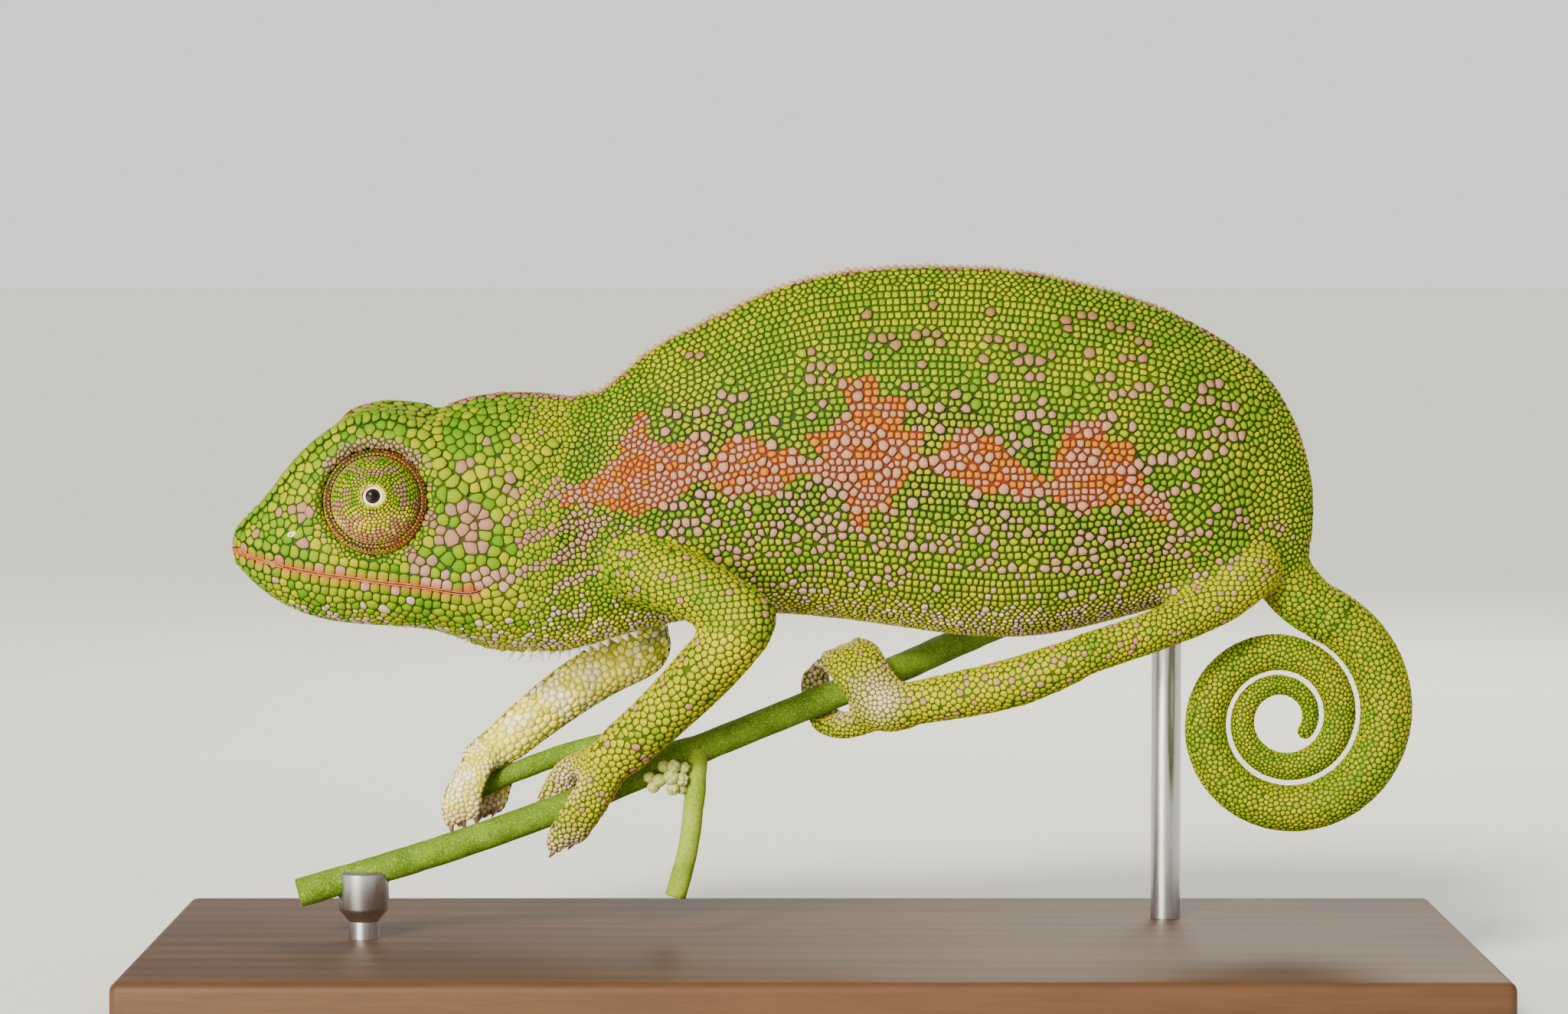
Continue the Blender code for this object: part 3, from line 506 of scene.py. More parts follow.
def turretFrame(side, tilted="tilt"):
    tilt = math.radians(turret[tilted])
    aim = np.array((0.0, side * math.cos(tilt), math.sin(tilt)))
    return np.array(turret["middle"]) * (1, side, 1) - aim * turret["middleHeight"], aim


def socketReach(points):
    # distance of each point from the axis of the turret on its own side
    made = np.full(len(points), far)
    for side in sides.values():
        back, aim = turretFrame(side, "socketTilt")
        spoke = points - back
        deep = spoke @ aim
        reach = np.linalg.norm(spoke - deep[:, None] * aim, axis=1)
        mine = (points[:, 1] * side > 0) & (deep > 0.5)
        made[mine] = reach[mine]
    return made


def lineDistance(points, line):
    dense = curveThrough(line, 12)
    folded = points * (1, 0, 1) + np.abs(points) * (0, 1, 0)
    gap = np.full(len(points), far)
    for start, end in zip(dense, dense[1:]):
        way = end - start
        share = np.clip((folded - start) @ way / (way @ way), 0, 1)
        gap = np.minimum(gap, np.linalg.norm(folded - start - share[:, None] * way, axis=1))
    return gap


# The keels under the throat and along the back are smoothed more, and the throat's is kept level
keelPlan = {"half": 1.1, "passes": 14, "under": (-44, -16, 38.5), "over": (-24, 17, 57.5)}
throatKeel = ((-30, 33.95), (-28, 33.9), (-26, 34.15), (-24, 34.5), (-22, 35.0), (-20, 35.55), (-18, 36.15))
throatBox = ((-23.5, 0.0, 33.5), (6.5, 1.4, 3.0))  # middle and half size of the part that is kept level


def keelVerts(points):
    x, y, z = points.T
    start, end, low = keelPlan["under"]
    under = (x > start) & (x < end) & (z < low)
    start, end, high = keelPlan["over"]
    over = (x > start) & (x < end) & (z > high)
    mine = (np.abs(y) < keelPlan["half"]) & (under | over)
    return [v for v, chosen in zip(skin.verts, mine) if chosen]


keels = keelVerts(arrayOf(skin))
for turnNumber in range(keelPlan["passes"]):
    smoothed(skin, keels)
points = arrayOf(skin)
lowest = np.interp(points[:, 0], *np.array(throatKeel, float).T)
below = (np.abs(points - throatBox[0]) < throatBox[1]).all(axis=1)
points[below, 2] = np.maximum(points[below, 2], lowest[below])
setPoints(skin, points)
skin.normal_update()
headward = np.flatnonzero(points[:, 0] < -20)
near = points[headward]
lift = np.zeros(len(points))
for fold in folds:
    gap = lineDistance(near, fold["line"])
    lift[headward] += fold["rise"] * np.exp(-(gap / fold["width"]) ** 2)
reach = socketReach(near)
lift[headward] += socketFold["rise"] * np.exp(-((reach - socketFold["radius"]) / socketFold["width"]) ** 2)
normals = np.array([v.normal for v in skin.verts])
setPoints(skin, bluntToes(points + normals * lift[:, None]))
skin.normal_update()
skinPoints = arrayOf(skin)
skinNormals = np.array([v.normal for v in skin.verts])
skinTree = searchTree(skin)


def ringsInOrder():
    # the corners of each face, from the one that is first in every run
    lean = skinPoints @ (1.0, 0.37, 0.11)
    rings = [[v.index for v in f.verts] for f in skin.faces]
    firsts = [min(range(len(ring)), key=lambda i: lean[ring[i]]) for ring in rings]
    return [ring[first:] + ring[:first] for ring, first in zip(rings, firsts)]


faceRings = ringsInOrder()
report("folds")

# Where the scales grow
spacing = {
    "flank": 0.71, "back": 0.58, "belly": 0.46, "neck": 0.52,
    "headTop": 0.9, "cheek": 1.12, "snout": 0.74, "casque": 0.7, "throat": 0.58, "socket": 0.42,
    "upper": 0.63, "fore": 0.69, "thigh": 0.52, "shank": 0.6, "hand": 0.5, "foot": 0.46,
    "tailRoot": 0.55, "tailTip": 0.34,
    "tubercle": 0.95,
    "rows": 53,
}
# x and z of the back's edge and of the belly's
backEdge = np.array(((-22.7, 58.7), (-18.1, 62.3), (-14.3, 65), (-10, 67.1), (-4.7, 69.6), (0.4, 71.2),
                     (5.8, 72), (11.1, 72.3), (16.5, 72.2), (21.9, 71.6), (28.1, 70.2), (34.2, 68.3),
                     (38.8, 65.9), (42.2, 63.8), (45.4, 60.6), (47.9, 56), (49.2, 46.8))).T
bellyEdge = np.array(((-26.3, 34.3), (-20, 35.2), (-15.6, 36.5), (-10.5, 37.5), (-5, 37.9), (0.4, 37.6),
                      (6.2, 36.9), (12.4, 36), (18.4, 35.5), (23.8, 35.9), (29.4, 37.2), (34.8, 38.7),
                      (38.6, 39.6), (42.9, 39.8))).T
mouthEdge = np.array(mouthLine)[:, (0, 2)].T
ownerNames = np.array(fleshNodes)


def step(values, low, high):
    share = np.clip((values - low) / (high - low), 0, 1)
    return share * share * (3 - 2 * share)


def mixOf(first, second, share):
    return first + (second - first) * share


def trunkShare(x, z):
    # 0 at the belly's edge and 1 at the back's
    top, low = np.interp(x, *backEdge), np.interp(x, *bellyEdge)
    return (z - low) / np.maximum(top - low, 1)


def flankHeight(x, share):
    low = np.interp(x, *bellyEdge)
    return low + (np.interp(x, *backEdge) - low) * share


def overMouthAt(x, z):
    return z - np.interp(x, *mouthEdge)


def tailShare(names):
    # 0 before the tail and 1 at its tip, by the length that each place lies in
    return np.array([int(n[-1]) / 7 if n.startswith("tail") else 0 for n in names])


def spacingAt(points, owners):
    names = ownerNames[owners]
    made = np.full(len(points), spacing["fore"])
    for word in ("upper", "fore", "thigh", "shank"):
        made[np.char.endswith(names, word)] = spacing[word]
    for word in ("hand", "foot"):
        made[starts(names, word)] = spacing[word]
    onTail = starts(names, "tail")
    made[onTail] = mixOf(spacing["tailRoot"], spacing["tailTip"], tailShare(names))[onTail]
    x, z = points[:, 0], points[:, 2]
    height = trunkShare(x, z)
    body = mixOf(spacing["belly"], spacing["flank"], step(height, 0.02, 0.2))
    body = mixOf(body, spacing["back"], step(height, 0.8, 0.97))
    body = mixOf(spacing["neck"], body, step(x, -19, -11))
    body = mixOf(body, spacing["thigh"], step(x, 41, 47))
    torso = names == "torso"
    made[torso] = body[torso]
    head = mixOf(spacing["snout"], spacing["headTop"], step(x, -54, -47))
    cheek = np.exp(-(((x + 33.6) / 4.2) ** 2 + ((z - 47.2) / 5.0) ** 2) ** 1.5)
    head = mixOf(head, spacing["cheek"], cheek)
    head = mixOf(head, spacing["casque"], step(z, 54.5, 58) * step(x, -33, -25))
    head = mixOf(head, spacing["throat"], step(-overMouthAt(x, z), 1.6, 4.0))
    head = mixOf(head, spacing["neck"], step(x, -30.5, -26.5))
    head = mixOf(spacing["socket"], head, step(socketReach(points), 5.9, 6.6))
    headOnly = names == "head"
    made[headOnly] = head[headOnly]
    made[names == "neck"] = spacing["neck"]
    return made


def onSkin(point, sideways=None):
    # nearest place of the skin, or the one met by looking in along Y from that side
    if sideways is not None:
        found = skinTree.ray_cast(Vector((point[0], sideways * 40, point[2])), Vector((0, -sideways, 0)))
        return found[:2] if found[0] is not None else None
    return skinTree.find_nearest(Vector(point))[:2]


def walk(line, stride):
    # points along a line at equal strides
    dense = curveThrough(line, 16)
    length = np.concatenate(([0], np.cumsum(np.linalg.norm(np.diff(dense, axis=0), axis=1))))
    places = np.arange(stride / 2, length[-1], stride)
    return np.column_stack([np.interp(places, length, dense[:, i]) for i in range(3)])


# Rows of scales along the mouth, with their height over it and stride, and along the brow and temple
mouthRows = ((0.62, 1.05, "lip"), (-0.62, 1.0, "lip"), (1.65, 1.0, "plate"), (-1.5, 0.85, "plate"))
beadRows = ((browLine, 0.95), (templeLine, 1.15))


def specialSites():
    rows = []
    for side in sides.values():
        for rise, stride, kind in mouthRows:
            for x, y, z in walk(mouthLine, stride):
                found = onSkin((x, 0, z + rise), side)
                if found is not None and x > -56:
                    rows.append((*found[0], stride, kind))
        for line, stride in beadRows:
            for x, y, z in walk(line, stride):
                place = onSkin((x, side * y, z))[0]
                rows.append((*place, stride, "bead"))
    return rows


tubercles = {"groups": 290, "span": (-15, 40), "lengths": (1, 1, 1, 1, 2, 2, 3)}


def tubercleSites():
    # large round scales in short level groups over the flank, denser low down
    rows = []
    for side in sides.values():
        for group in range(tubercles["groups"]):
            x = rng.uniform(*tubercles["span"])
            height = rng.beta(1.5, 1.7)
            z = flankHeight(x, 0.04 + 0.9 * height)
            for place in range(rng.choice(tubercles["lengths"])):
                found = onSkin((x + place, 0, z + rng.normal(0, 0.12)), side)
                size = spacing["tubercle"] * rng.uniform(0.86, 1.12) * (0.72 + 0.28 * min(height * 2, 1))
                if found is not None and abs(found[1].y) > 0.25 and abs(found[0].y) > 2.0:
                    rows.append((*found[0], size, "tubercle"))
    return rows


def flankRows():
    rows = []
    count = spacing["rows"]
    for side in sides.values():
        for row in range(count):
            share = (row + 0.5) / count
            x = -18.0 + rng.uniform(0, 0.8)
            while x < 47:
                x += spacing["flank"] * rng.choice((1.0, 1.0, 0.96, 1.06, 0.78))
                found = onSkin((x, 0, flankHeight(x, share)), side)
                if found is not None and abs(found[1].y) > 0.45:
                    rows.append((*found[0], 0, "row"))
    return rows


# How scales are spread: reach of the bare socket, random candidates for each scale, share of its gap that
# a scale must have, the tries to push scales apart, how far and how hard, and clear reach round other pieces
spread = {"socket": 5.3, "candidates": 6, "thin": 0.8, "tries": 3, "apart": 1.06, "push": 0.24,
          "cones": 0.5, "claws": 0.5, "nostrils": 0.6}


def looseSites():
    # random places on the skin, as many to a square as the spacing there needs
    mesh = np.array([(ring + ring[-1:])[:4] for ring in faceRings])
    mesh = mesh[np.lexsort(np.round(skinPoints[mesh].mean(axis=1), 4).T)]
    corners = skinPoints[mesh]
    middle = corners.mean(axis=1)
    cross = np.cross(corners[:, 2] - corners[:, 0], corners[:, 3] - corners[:, 1])
    area = np.linalg.norm(cross, axis=1) / 2
    owners = skinOwner[mesh[:, 0]]
    wanted = area / spacingAt(middle, owners) ** 2
    wanted[(socketReach(middle) < spread["socket"] + 0.05)] = 0
    number = int(wanted.sum() * spread["candidates"])
    faces = rng.choice(len(mesh), number, p=wanted / wanted.sum())
    u, v = rng.random((2, number, 1))
    picked = corners[faces]
    spots = (picked[:, 0] * (1 - u) * (1 - v) + picked[:, 1] * u * (1 - v)
             + picked[:, 2] * u * v + picked[:, 3] * (1 - u) * v)
    return spots, wanted.sum()


def isClear(taken, place, key, gap, span):
    x, y, z = place
    i, j, k = key
    for a in span:
        for b in span:
            for c in span:
                for ox, oy, oz, other in taken.get((i + a, j + b, k + c), ()):
                    limit = (gap + other) / 2
                    if (x - ox) ** 2 + (y - oy) ** 2 + (z - oz) ** 2 < limit * limit:
                        return False
    return True


def thinOut(places, gaps):
    # keeps each place that lies clear of those kept before it, which are filed by cells of space
    cell = 0.5
    taken = {}
    kept = []
    keys = np.floor(places / cell).astype(int).tolist()
    for index, (place, key, gap) in enumerate(zip(places.tolist(), keys, gaps.tolist())):
        cells = math.ceil(gap * 1.2 / cell)
        if isClear(taken, place, key, gap, range(-cells, cells + 1)):
            taken.setdefault(tuple(key), []).append((*place, gap))
            kept.append(index)
    return np.array(kept)


def settle(rows):
    # nearest place of the skin, its normal and its face
    found = [skinTree.find_nearest(Vector(p)) for p in rows]
    return [np.array([f[i] for f in found]) for i in range(3)]


def nearestOthers(rows, count):
    tree = treeOf(rows)
    return np.array([[hit[1] for hit in tree.find_n(row, count + 1)][1:] for row in rows])


# Crests of cones: count, first and last x, length and radius at both ends, how blunt they are, and whether
# they hang under the animal
crests = {
    "gular": {"count": 14, "span": (-29.7, -17.5), "length": (0.9, 0.85), "radius": (0.66, 0.64),
              "blunt": 1.4, "down": True},
    "chin": {"count": 14, "span": (-41.5, -30.6), "length": (0.34, 0.6), "radius": (0.26, 0.38),
             "blunt": 1.4, "down": True},
    "dorsal": {"count": 50, "span": (-22.2, 16.0), "length": (0.54, 0.42), "radius": (0.5, 0.44),
               "blunt": 2.6, "down": False},
    "ridge": {"count": 26, "span": (16.8, 35.0), "length": (0.4, 0.32), "radius": (0.4, 0.34),
              "blunt": 2.6, "down": False},
}
nostril = {"x": -50.4, "z": 46.0, "half": (0.58, 0.3), "rise": 0.24, "turn": 70}


def crestFeet(plan):
    # place and normal of each cone, found by looking at the skin from under or over the animal
    start, way = (31.5, 1) if plan["down"] else (90.0, -1)
    rows = []
    for x in np.linspace(*plan["span"], plan["count"]):
        found = skinTree.ray_cast(Vector((x, 0.0, start)), Vector((0, 0, way)))
        rows.append((np.array(found[0]), unit(np.array(found[1]) * (1, 0, 1))))
    return rows


def nearAny(places, spots, reach):
    tree = treeOf(spots)
    return np.array([tree.find(place)[2] < reach for place in places])


def buried(places):
    # true where the tail's tube and the fused skin lie over each other and the place is under one of them
    made = np.zeros(len(places), bool)
    root = np.array(tail["lead"][-1][:3])
    for index in np.flatnonzero(np.linalg.norm(places - root, axis=1) < 7):
        spot, normal = skinTree.find_nearest(Vector(places[index]))[:2]
        over = skinTree.ray_cast(spot + normal * 0.02, normal, 1.5)
        made[index] = over[0] is not None and over[1].dot(normal) > 0
    return made


special = specialSites() + tubercleSites() + flankRows()
loose, expected = looseSites()
report(f"{len(special)} placed and {len(loose)} loose candidates for about {expected:.0f} scales")
sites = np.vstack((np.array([row[:3] for row in special]), loose))
kinds = np.array([row[4] for row in special] + ["loose"] * len(loose))
owners = ownersOf(sites)
gaps = spacingAt(sites, owners)
named = np.array([row[3] for row in special] + [0] * len(loose))
gaps = np.where(named > 0, named, gaps)
onTrunk = np.isin(ownerNames[owners], ("torso", "neck"))
kept = (onTrunk | (kinds != "tubercle")) & ~buried(sites)
sites, kinds, gaps, owners = sites[kept], kinds[kept], gaps[kept], owners[kept]
stay = thinOut(sites, gaps * spread["thin"])
stay = stay[socketReach(sites[stay]) > spread["socket"]]
clearOf = {"cones": [foot for plan in crests.values() for foot, normal in crestFeet(plan)],
           "claws": [foot for foot, way, inward in clawPlaces()],
           "nostrils": [onSkin((nostril["x"], 0, nostril["z"]), side)[0] for side in sides.values()]}
for kind, spots in clearOf.items():
    stay = stay[~nearAny(sites[stay], spots, spread[kind])]
sites, kinds, gaps, owners = sites[stay], kinds[stay], gaps[stay], owners[stay]
report(f"{len(sites)} scales spread")
# Scales in rows keep their places better, and the loose ones of the head are the least even
looseness = np.where(np.isin(kinds, ("lip", "bead", "plate")), 0.25, np.where(kinds == "row", 0.45, 1.0))
uneven = np.where((ownerNames[owners] == "head") & (kinds == "loose"), 0.2, 0.08)
sizes = gaps * np.clip(1 + uneven * rng.normal(size=len(gaps)), 0.6, 1.4)
for turnNumber in range(spread["tries"]):
    others = nearestOthers(sites, 7)
    away = sites[:, None] - sites[others]
    apart = np.linalg.norm(away, axis=2)
    wantedApart = (sizes[:, None] + sizes[others]) / 2 * spread["apart"]
    push = np.maximum(wantedApart - apart, 0) / np.maximum(apart, 1e-6)
    sites = sites + (away * push[:, :, None]).sum(axis=1) * spread["push"] * looseness[:, None]
    sites, siteNormals, siteFaces = settle(sites)
others = nearestOthers(sites, 9)
report("relaxed")
skin.faces.ensure_lookup_table()
faceVerts = np.array([ring[:3] for ring in faceRings])
siteNormals = unit(skinNormals[faceVerts[siteFaces]].mean(axis=1))


# One scale is a closed form made by extruding a disc. Its copies take the shape of their cells.
# A cell's corners are sharper where the power is higher.
def scaleForm(directions, profile, crown, power=9.0):
    form = bmesh.new()
    bmesh.ops.create_circle(form, cap_ends=True, segments=directions, radius=profile[0][0])
    bmesh.ops.rotate(form, verts=form.verts, matrix=Matrix.Rotation(math.pi / directions, 3, "Z"))
    top = list(form.faces)
    level = {v: 0 for v in form.verts}
    for index, (radius, height) in enumerate(profile[1:], 1):
        made = bmesh.ops.extrude_face_region(form, geom=top, use_keep_orig=True)["geom"]
        if index > 1:
            bmesh.ops.delete(form, geom=top, context="FACES_ONLY")
        ring = [g for g in made if isinstance(g, bmesh.types.BMVert)]
        top = [g for g in made if isinstance(g, bmesh.types.BMFace) and g not in top]
        for v in ring:
            v.co *= radius / v.co.length
            level[v] = index
    poked = bmesh.ops.poke(form, faces=top)["verts"]
    form.verts.ensure_lookup_table()
    form.verts.index_update()
    rise = [profile[level[v]][1] if v not in poked else crown for v in form.verts]
    turns = [math.atan2(v.co.y, v.co.x) / (2 * math.pi / directions) for v in form.verts]
    spoke = [round(turn - 0.5) % directions for turn in turns]
    reach = [0.0 if v in poked else v.co.length for v in form.verts]
    for v, height in zip(form.verts, rise):
        v.co.z = height
    bmesh.ops.recalc_face_normals(form, faces=form.faces)
    faces = [[v.index for v in f.verts] for f in form.faces]
    form.free()
    return {"rise": np.array(rise), "spoke": np.array(spoke), "reach": np.array(reach), "faces": faces,
            "directions": directions, "power": power}


# Least reach of a cell, how slanting a border may be, and reach of a scale's patch in the OFBake map
cell = {"least": 0.03, "slant": 0.12, "patch": 0.0015}


def cellReach(chosen, points, normals, weights, neighbours, form, seam, cap):
    # how far each chosen cell reaches in each direction before it meets its neighbours
    near = neighbours[chosen]
    level = unit(np.cross(normals[chosen], (0.31, 0.11, 0.94)))
    cross = np.cross(normals[chosen], level)
    away = points[near] - points[chosen][:, None]
    along = np.einsum("nmk,nk->nm", away, level)
    over = np.einsum("nmk,nk->nm", away, cross)
    heading = np.arctan2(over, along)
    share = weights[chosen][:, None] / (weights[chosen][:, None] + weights[near])
    border = np.maximum(share * np.hypot(along, over) - seam[chosen][:, None], cell["least"])
    turns = (np.arange(form["directions"]) + 0.5) * 2 * math.pi / form["directions"]
    facing = np.cos(turns[None, None, :] - heading[:, :, None])
    slant = cell["slant"]
    limit = np.where(facing > slant, border[:, :, None] / np.maximum(facing, slant), far)
    reach = (limit ** -form["power"]).sum(axis=1) ** (-1 / form["power"])
    rays = level[:, None] * np.cos(turns)[None, :, None] + cross[:, None] * np.sin(turns)[None, :, None]
    return np.minimum(reach, cap[chosen][:, None]), rays


def scaleArrays(form, radii, rays, normals, points, heights, sink):
    # points of every copy of the form, in millimetres
    spoke, reach, rise = form["spoke"], form["reach"], form["rise"]
    outward = rays[:, spoke] * (radii[:, spoke] * reach)[:, :, None]
    lifted = np.where(rise > 0, rise * heights[:, None], -sink)
    return points[:, None] + outward + lifted[:, :, None] * normals[:, None]


def coatMesh(name, form, places, roots):
    # joins the copies to one mesh, with each scale's small patch in the OFBake map
    number, each = places.shape[:2]
    lengths = np.array([len(f) for f in form["faces"]])
    corners = np.concatenate(form["faces"])
    loops = (corners[None, :] + np.arange(number)[:, None] * each).ravel()
    totals = np.tile(lengths, number)
    mesh = bpy.data.meshes.new(name)
    mesh.vertices.add(number * each)
    mesh.vertices.foreach_set("co", (places * mm).astype(np.float32).ravel())
    mesh.loops.add(len(loops))
    mesh.loops.foreach_set("vertex_index", loops.astype(np.int32))
    mesh.polygons.add(len(totals))
    starts = np.concatenate(([0], np.cumsum(totals)[:-1]))
    mesh.polygons.foreach_set("loop_start", starts.astype(np.int32))
    mesh.update(calc_edges=True)
    mesh.shade_smooth()
    turns = (form["spoke"] + 0.5) * 2 * math.pi / form["directions"]
    patch = np.column_stack((np.cos(turns), np.sin(turns))) * (form["reach"] * cell["patch"])[:, None]
    spots = (roots[:, None] + patch[None]).reshape(-1, 2)
    mesh.uv_layers.new(name="OFBake").data.foreach_set("uv", spots[loops].astype(np.float32).ravel())
    return mesh


def unwrapRoots(points, owners):
    # a cylinder unwrap of the skin round the long axis of each node: each node has its own strip
    made = np.zeros((len(points), 2))
    present = sorted(set(owners.tolist()))
    for strip, owner in enumerate(present):
        mine = owners == owner
        here = points[mine]
        middle = here.mean(axis=0)
        axes = np.linalg.svd(here - middle, full_matrices=False)[2]
        flat = (here - middle) @ axes.T
        turn = np.arctan2(flat[:, 2], flat[:, 1]) / (2 * math.pi) + 0.5
        length = (flat[:, 0] - flat[:, 0].min()) / max(np.ptp(flat[:, 0]), 1e-6)
        made[mine, 0] = (strip + 0.02 + 0.96 * turn) / len(present)
        made[mine, 1] = 0.01 + 0.98 * length
    return made


# Markings, and one field of painted shade: fields over x and z that the skin takes softly and each scale
# takes or leaves
marks = {
    "stripe": ((-29.5, 48.6), (-21.0, 49.8), (-14.0, 51.6), (-7.8, 52.8), (-2.5, 52.6), (3.7, 53.1),
               (9.8, 53.0), (13.0, 53.6), (17.5, 52.6), (21.2, 51.2), (25.0, 50.6), (30.2, 49.7),
               (34.4, 48.3)),
    # centre x and z, half length, half height, 1 for a diamond and 2 for an oval, and the slope
    "blotches": ((-16.3, 51.6, 5.2, 4.6, 1.25, 0.25), (-6.0, 52.7, 4.7, 2.7, 1.8, 0.0),
                 (5.4, 54.1, 5.2, 6.4, 1.3, 0.0), (16.8, 52.5, 5.2, 2.6, 1.7, -0.22),
                 (26.8, 52.3, 4.8, 4.9, 1.2, -0.1)),
    # centre x and z, half length, half height, turn
    "cheekPatches": ((-32.9, 48.1, 2.1, 1.2, -25), (-34.0, 45.8, 2.6, 1.1, -15), (-36.8, 47.4, 0.9, 0.8, 0),
                     (-38.4, 44.2, 1.0, 0.7, -20), (-49.2, 48.3, 1.5, 0.6, 10), (-37.6, 42.6, 0.9, 0.5, 0)),
    # middle and reach of the pale creases of the left hand and foot
    "creases": ((-24.1, 21.7, 1.5), (6.6, 30.3, 2.0), (3.2, 28.3, 1.1)),
    # single mauve plates of the head
    "plates": ((-31.3, 54.8), (-29.1, 55.4), (-27.2, 58.0), (-26.1, 55.6), (-31.3, 52.4), (-34.3, 52.1),
               (-32.9, 52.7), (-36.8, 50.8), (-28.9, 51.7), (-36.3, 43.3), (-51.8, 47.6), (-47.3, 45.7),
               (-49.0, 44.9), (-53.8, 45.9), (-55.0, 44.6), (-45.7, 44.5), (-43.2, 40.6), (-40.8, 40.5),
               (-43.5, 39.5), (-48.0, 42.9), (-45.8, 42.7), (-51.2, 43.4), (-52.4, 41.6), (-38.5, 39.2)),
    # how much of each region is mauve or pale, and the rise in degrees of the streaks of the neck
    "flankMauve": (0.1, 0.16),
    "underMauve": 0.34,
    "ridgeMauve": 0.9,
    "limbMauve": 0.065,
    "bellyPale": 0.22,
    "throatPale": 0.26,
    "outerPawPale": 0.1,
    "streakRise": 24,
}


def rotatedBlob(x, z, centreX, centreZ, halfX, halfZ, turn):
    a = math.radians(turn)
    u = (x - centreX) * math.cos(a) + (z - centreZ) * math.sin(a)
    v = -(x - centreX) * math.sin(a) + (z - centreZ) * math.cos(a)
    return step(1.25 - np.sqrt((u / halfX) ** 2 + (v / halfZ) ** 2), 0, 0.5)


def stripeDistance(x, z):
    line = np.array(marks["stripe"])
    level = np.interp(x, line[:, 0], line[:, 1])
    return np.where((x > line[0, 0]) & (x < line[-1, 0]), np.abs(z - level), 9)


def toeShare(points):
    # 1 at the ends of the toes
    tree = treeOf(clearOf["claws"])
    return np.array([math.exp(-(tree.find(p)[2] / 2.1) ** 2) for p in points])


def lipShare(places):
    # orange edges of the lip scales along the mouth line, and the spot at its corner
    x, z = places[..., 0], places[..., 2]
    gap = np.abs(overMouthAt(x, z))
    corner = step(0.8 - np.hypot((x + 33.0) / 1.5, z - 40.7), 0, 0.3)
    tint = 0.3 * step(1.15 - gap, 0, 0.7) + 0.7 * step(0.42 - gap, 0, 0.3)
    return np.maximum(tint * step(-31.5 - x, 0, 1.0), corner)


def blotchesAt(x, z, wobble):
    made = np.zeros(len(x))
    for centreX, centreZ, halfX, halfZ, shape, slope in marks["blotches"]:
        across = (z - centreZ - slope * (x - centreX)) / halfZ
        reach = (np.abs((x - centreX) / halfX) ** shape + np.abs(across) ** shape) ** (1 / shape)
        made = np.maximum(made, step(1.1 - reach + 0.34 * wobble, 0, 0.14))
    return made


def neckStreaks(x, y, z):
    # mauve streaks that rise towards the back, over the neck
    lean = math.radians(marks["streakRise"])
    along = x * math.cos(lean) + z * math.sin(lean)
    across = z * math.cos(lean) - x * math.sin(lean)
    streaks = cloud(np.column_stack((along * 0.3, across * 1.1, y * 0.1)), 1.5, 19)
    inside = step(x, -31.5, -28.5) * step(-13 - x, 0, 4) * step(7.5 - np.abs(z - 44.6), 0, 2.5)
    return inside * step(streaks, 0.08, 0.22) * 0.92


def headMauve(x, y, z):
    cheek = np.zeros(len(x))
    for patch in marks["cheekPatches"]:
        cheek = np.maximum(cheek, step(rotatedBlob(x, z, *patch), 0.3, 0.6))
    gape = np.abs(overMouthAt(x, z) - 0.9 - 0.12 * np.maximum(x + 33, 0))
    gape = step(x, -39, -37) * step(1.1 - gape, 0, 0.4) * step(-28.8 - x, 0, 1.5)
    return np.maximum(cheek, np.maximum(gape * 0.72, neckStreaks(x, y, z)))


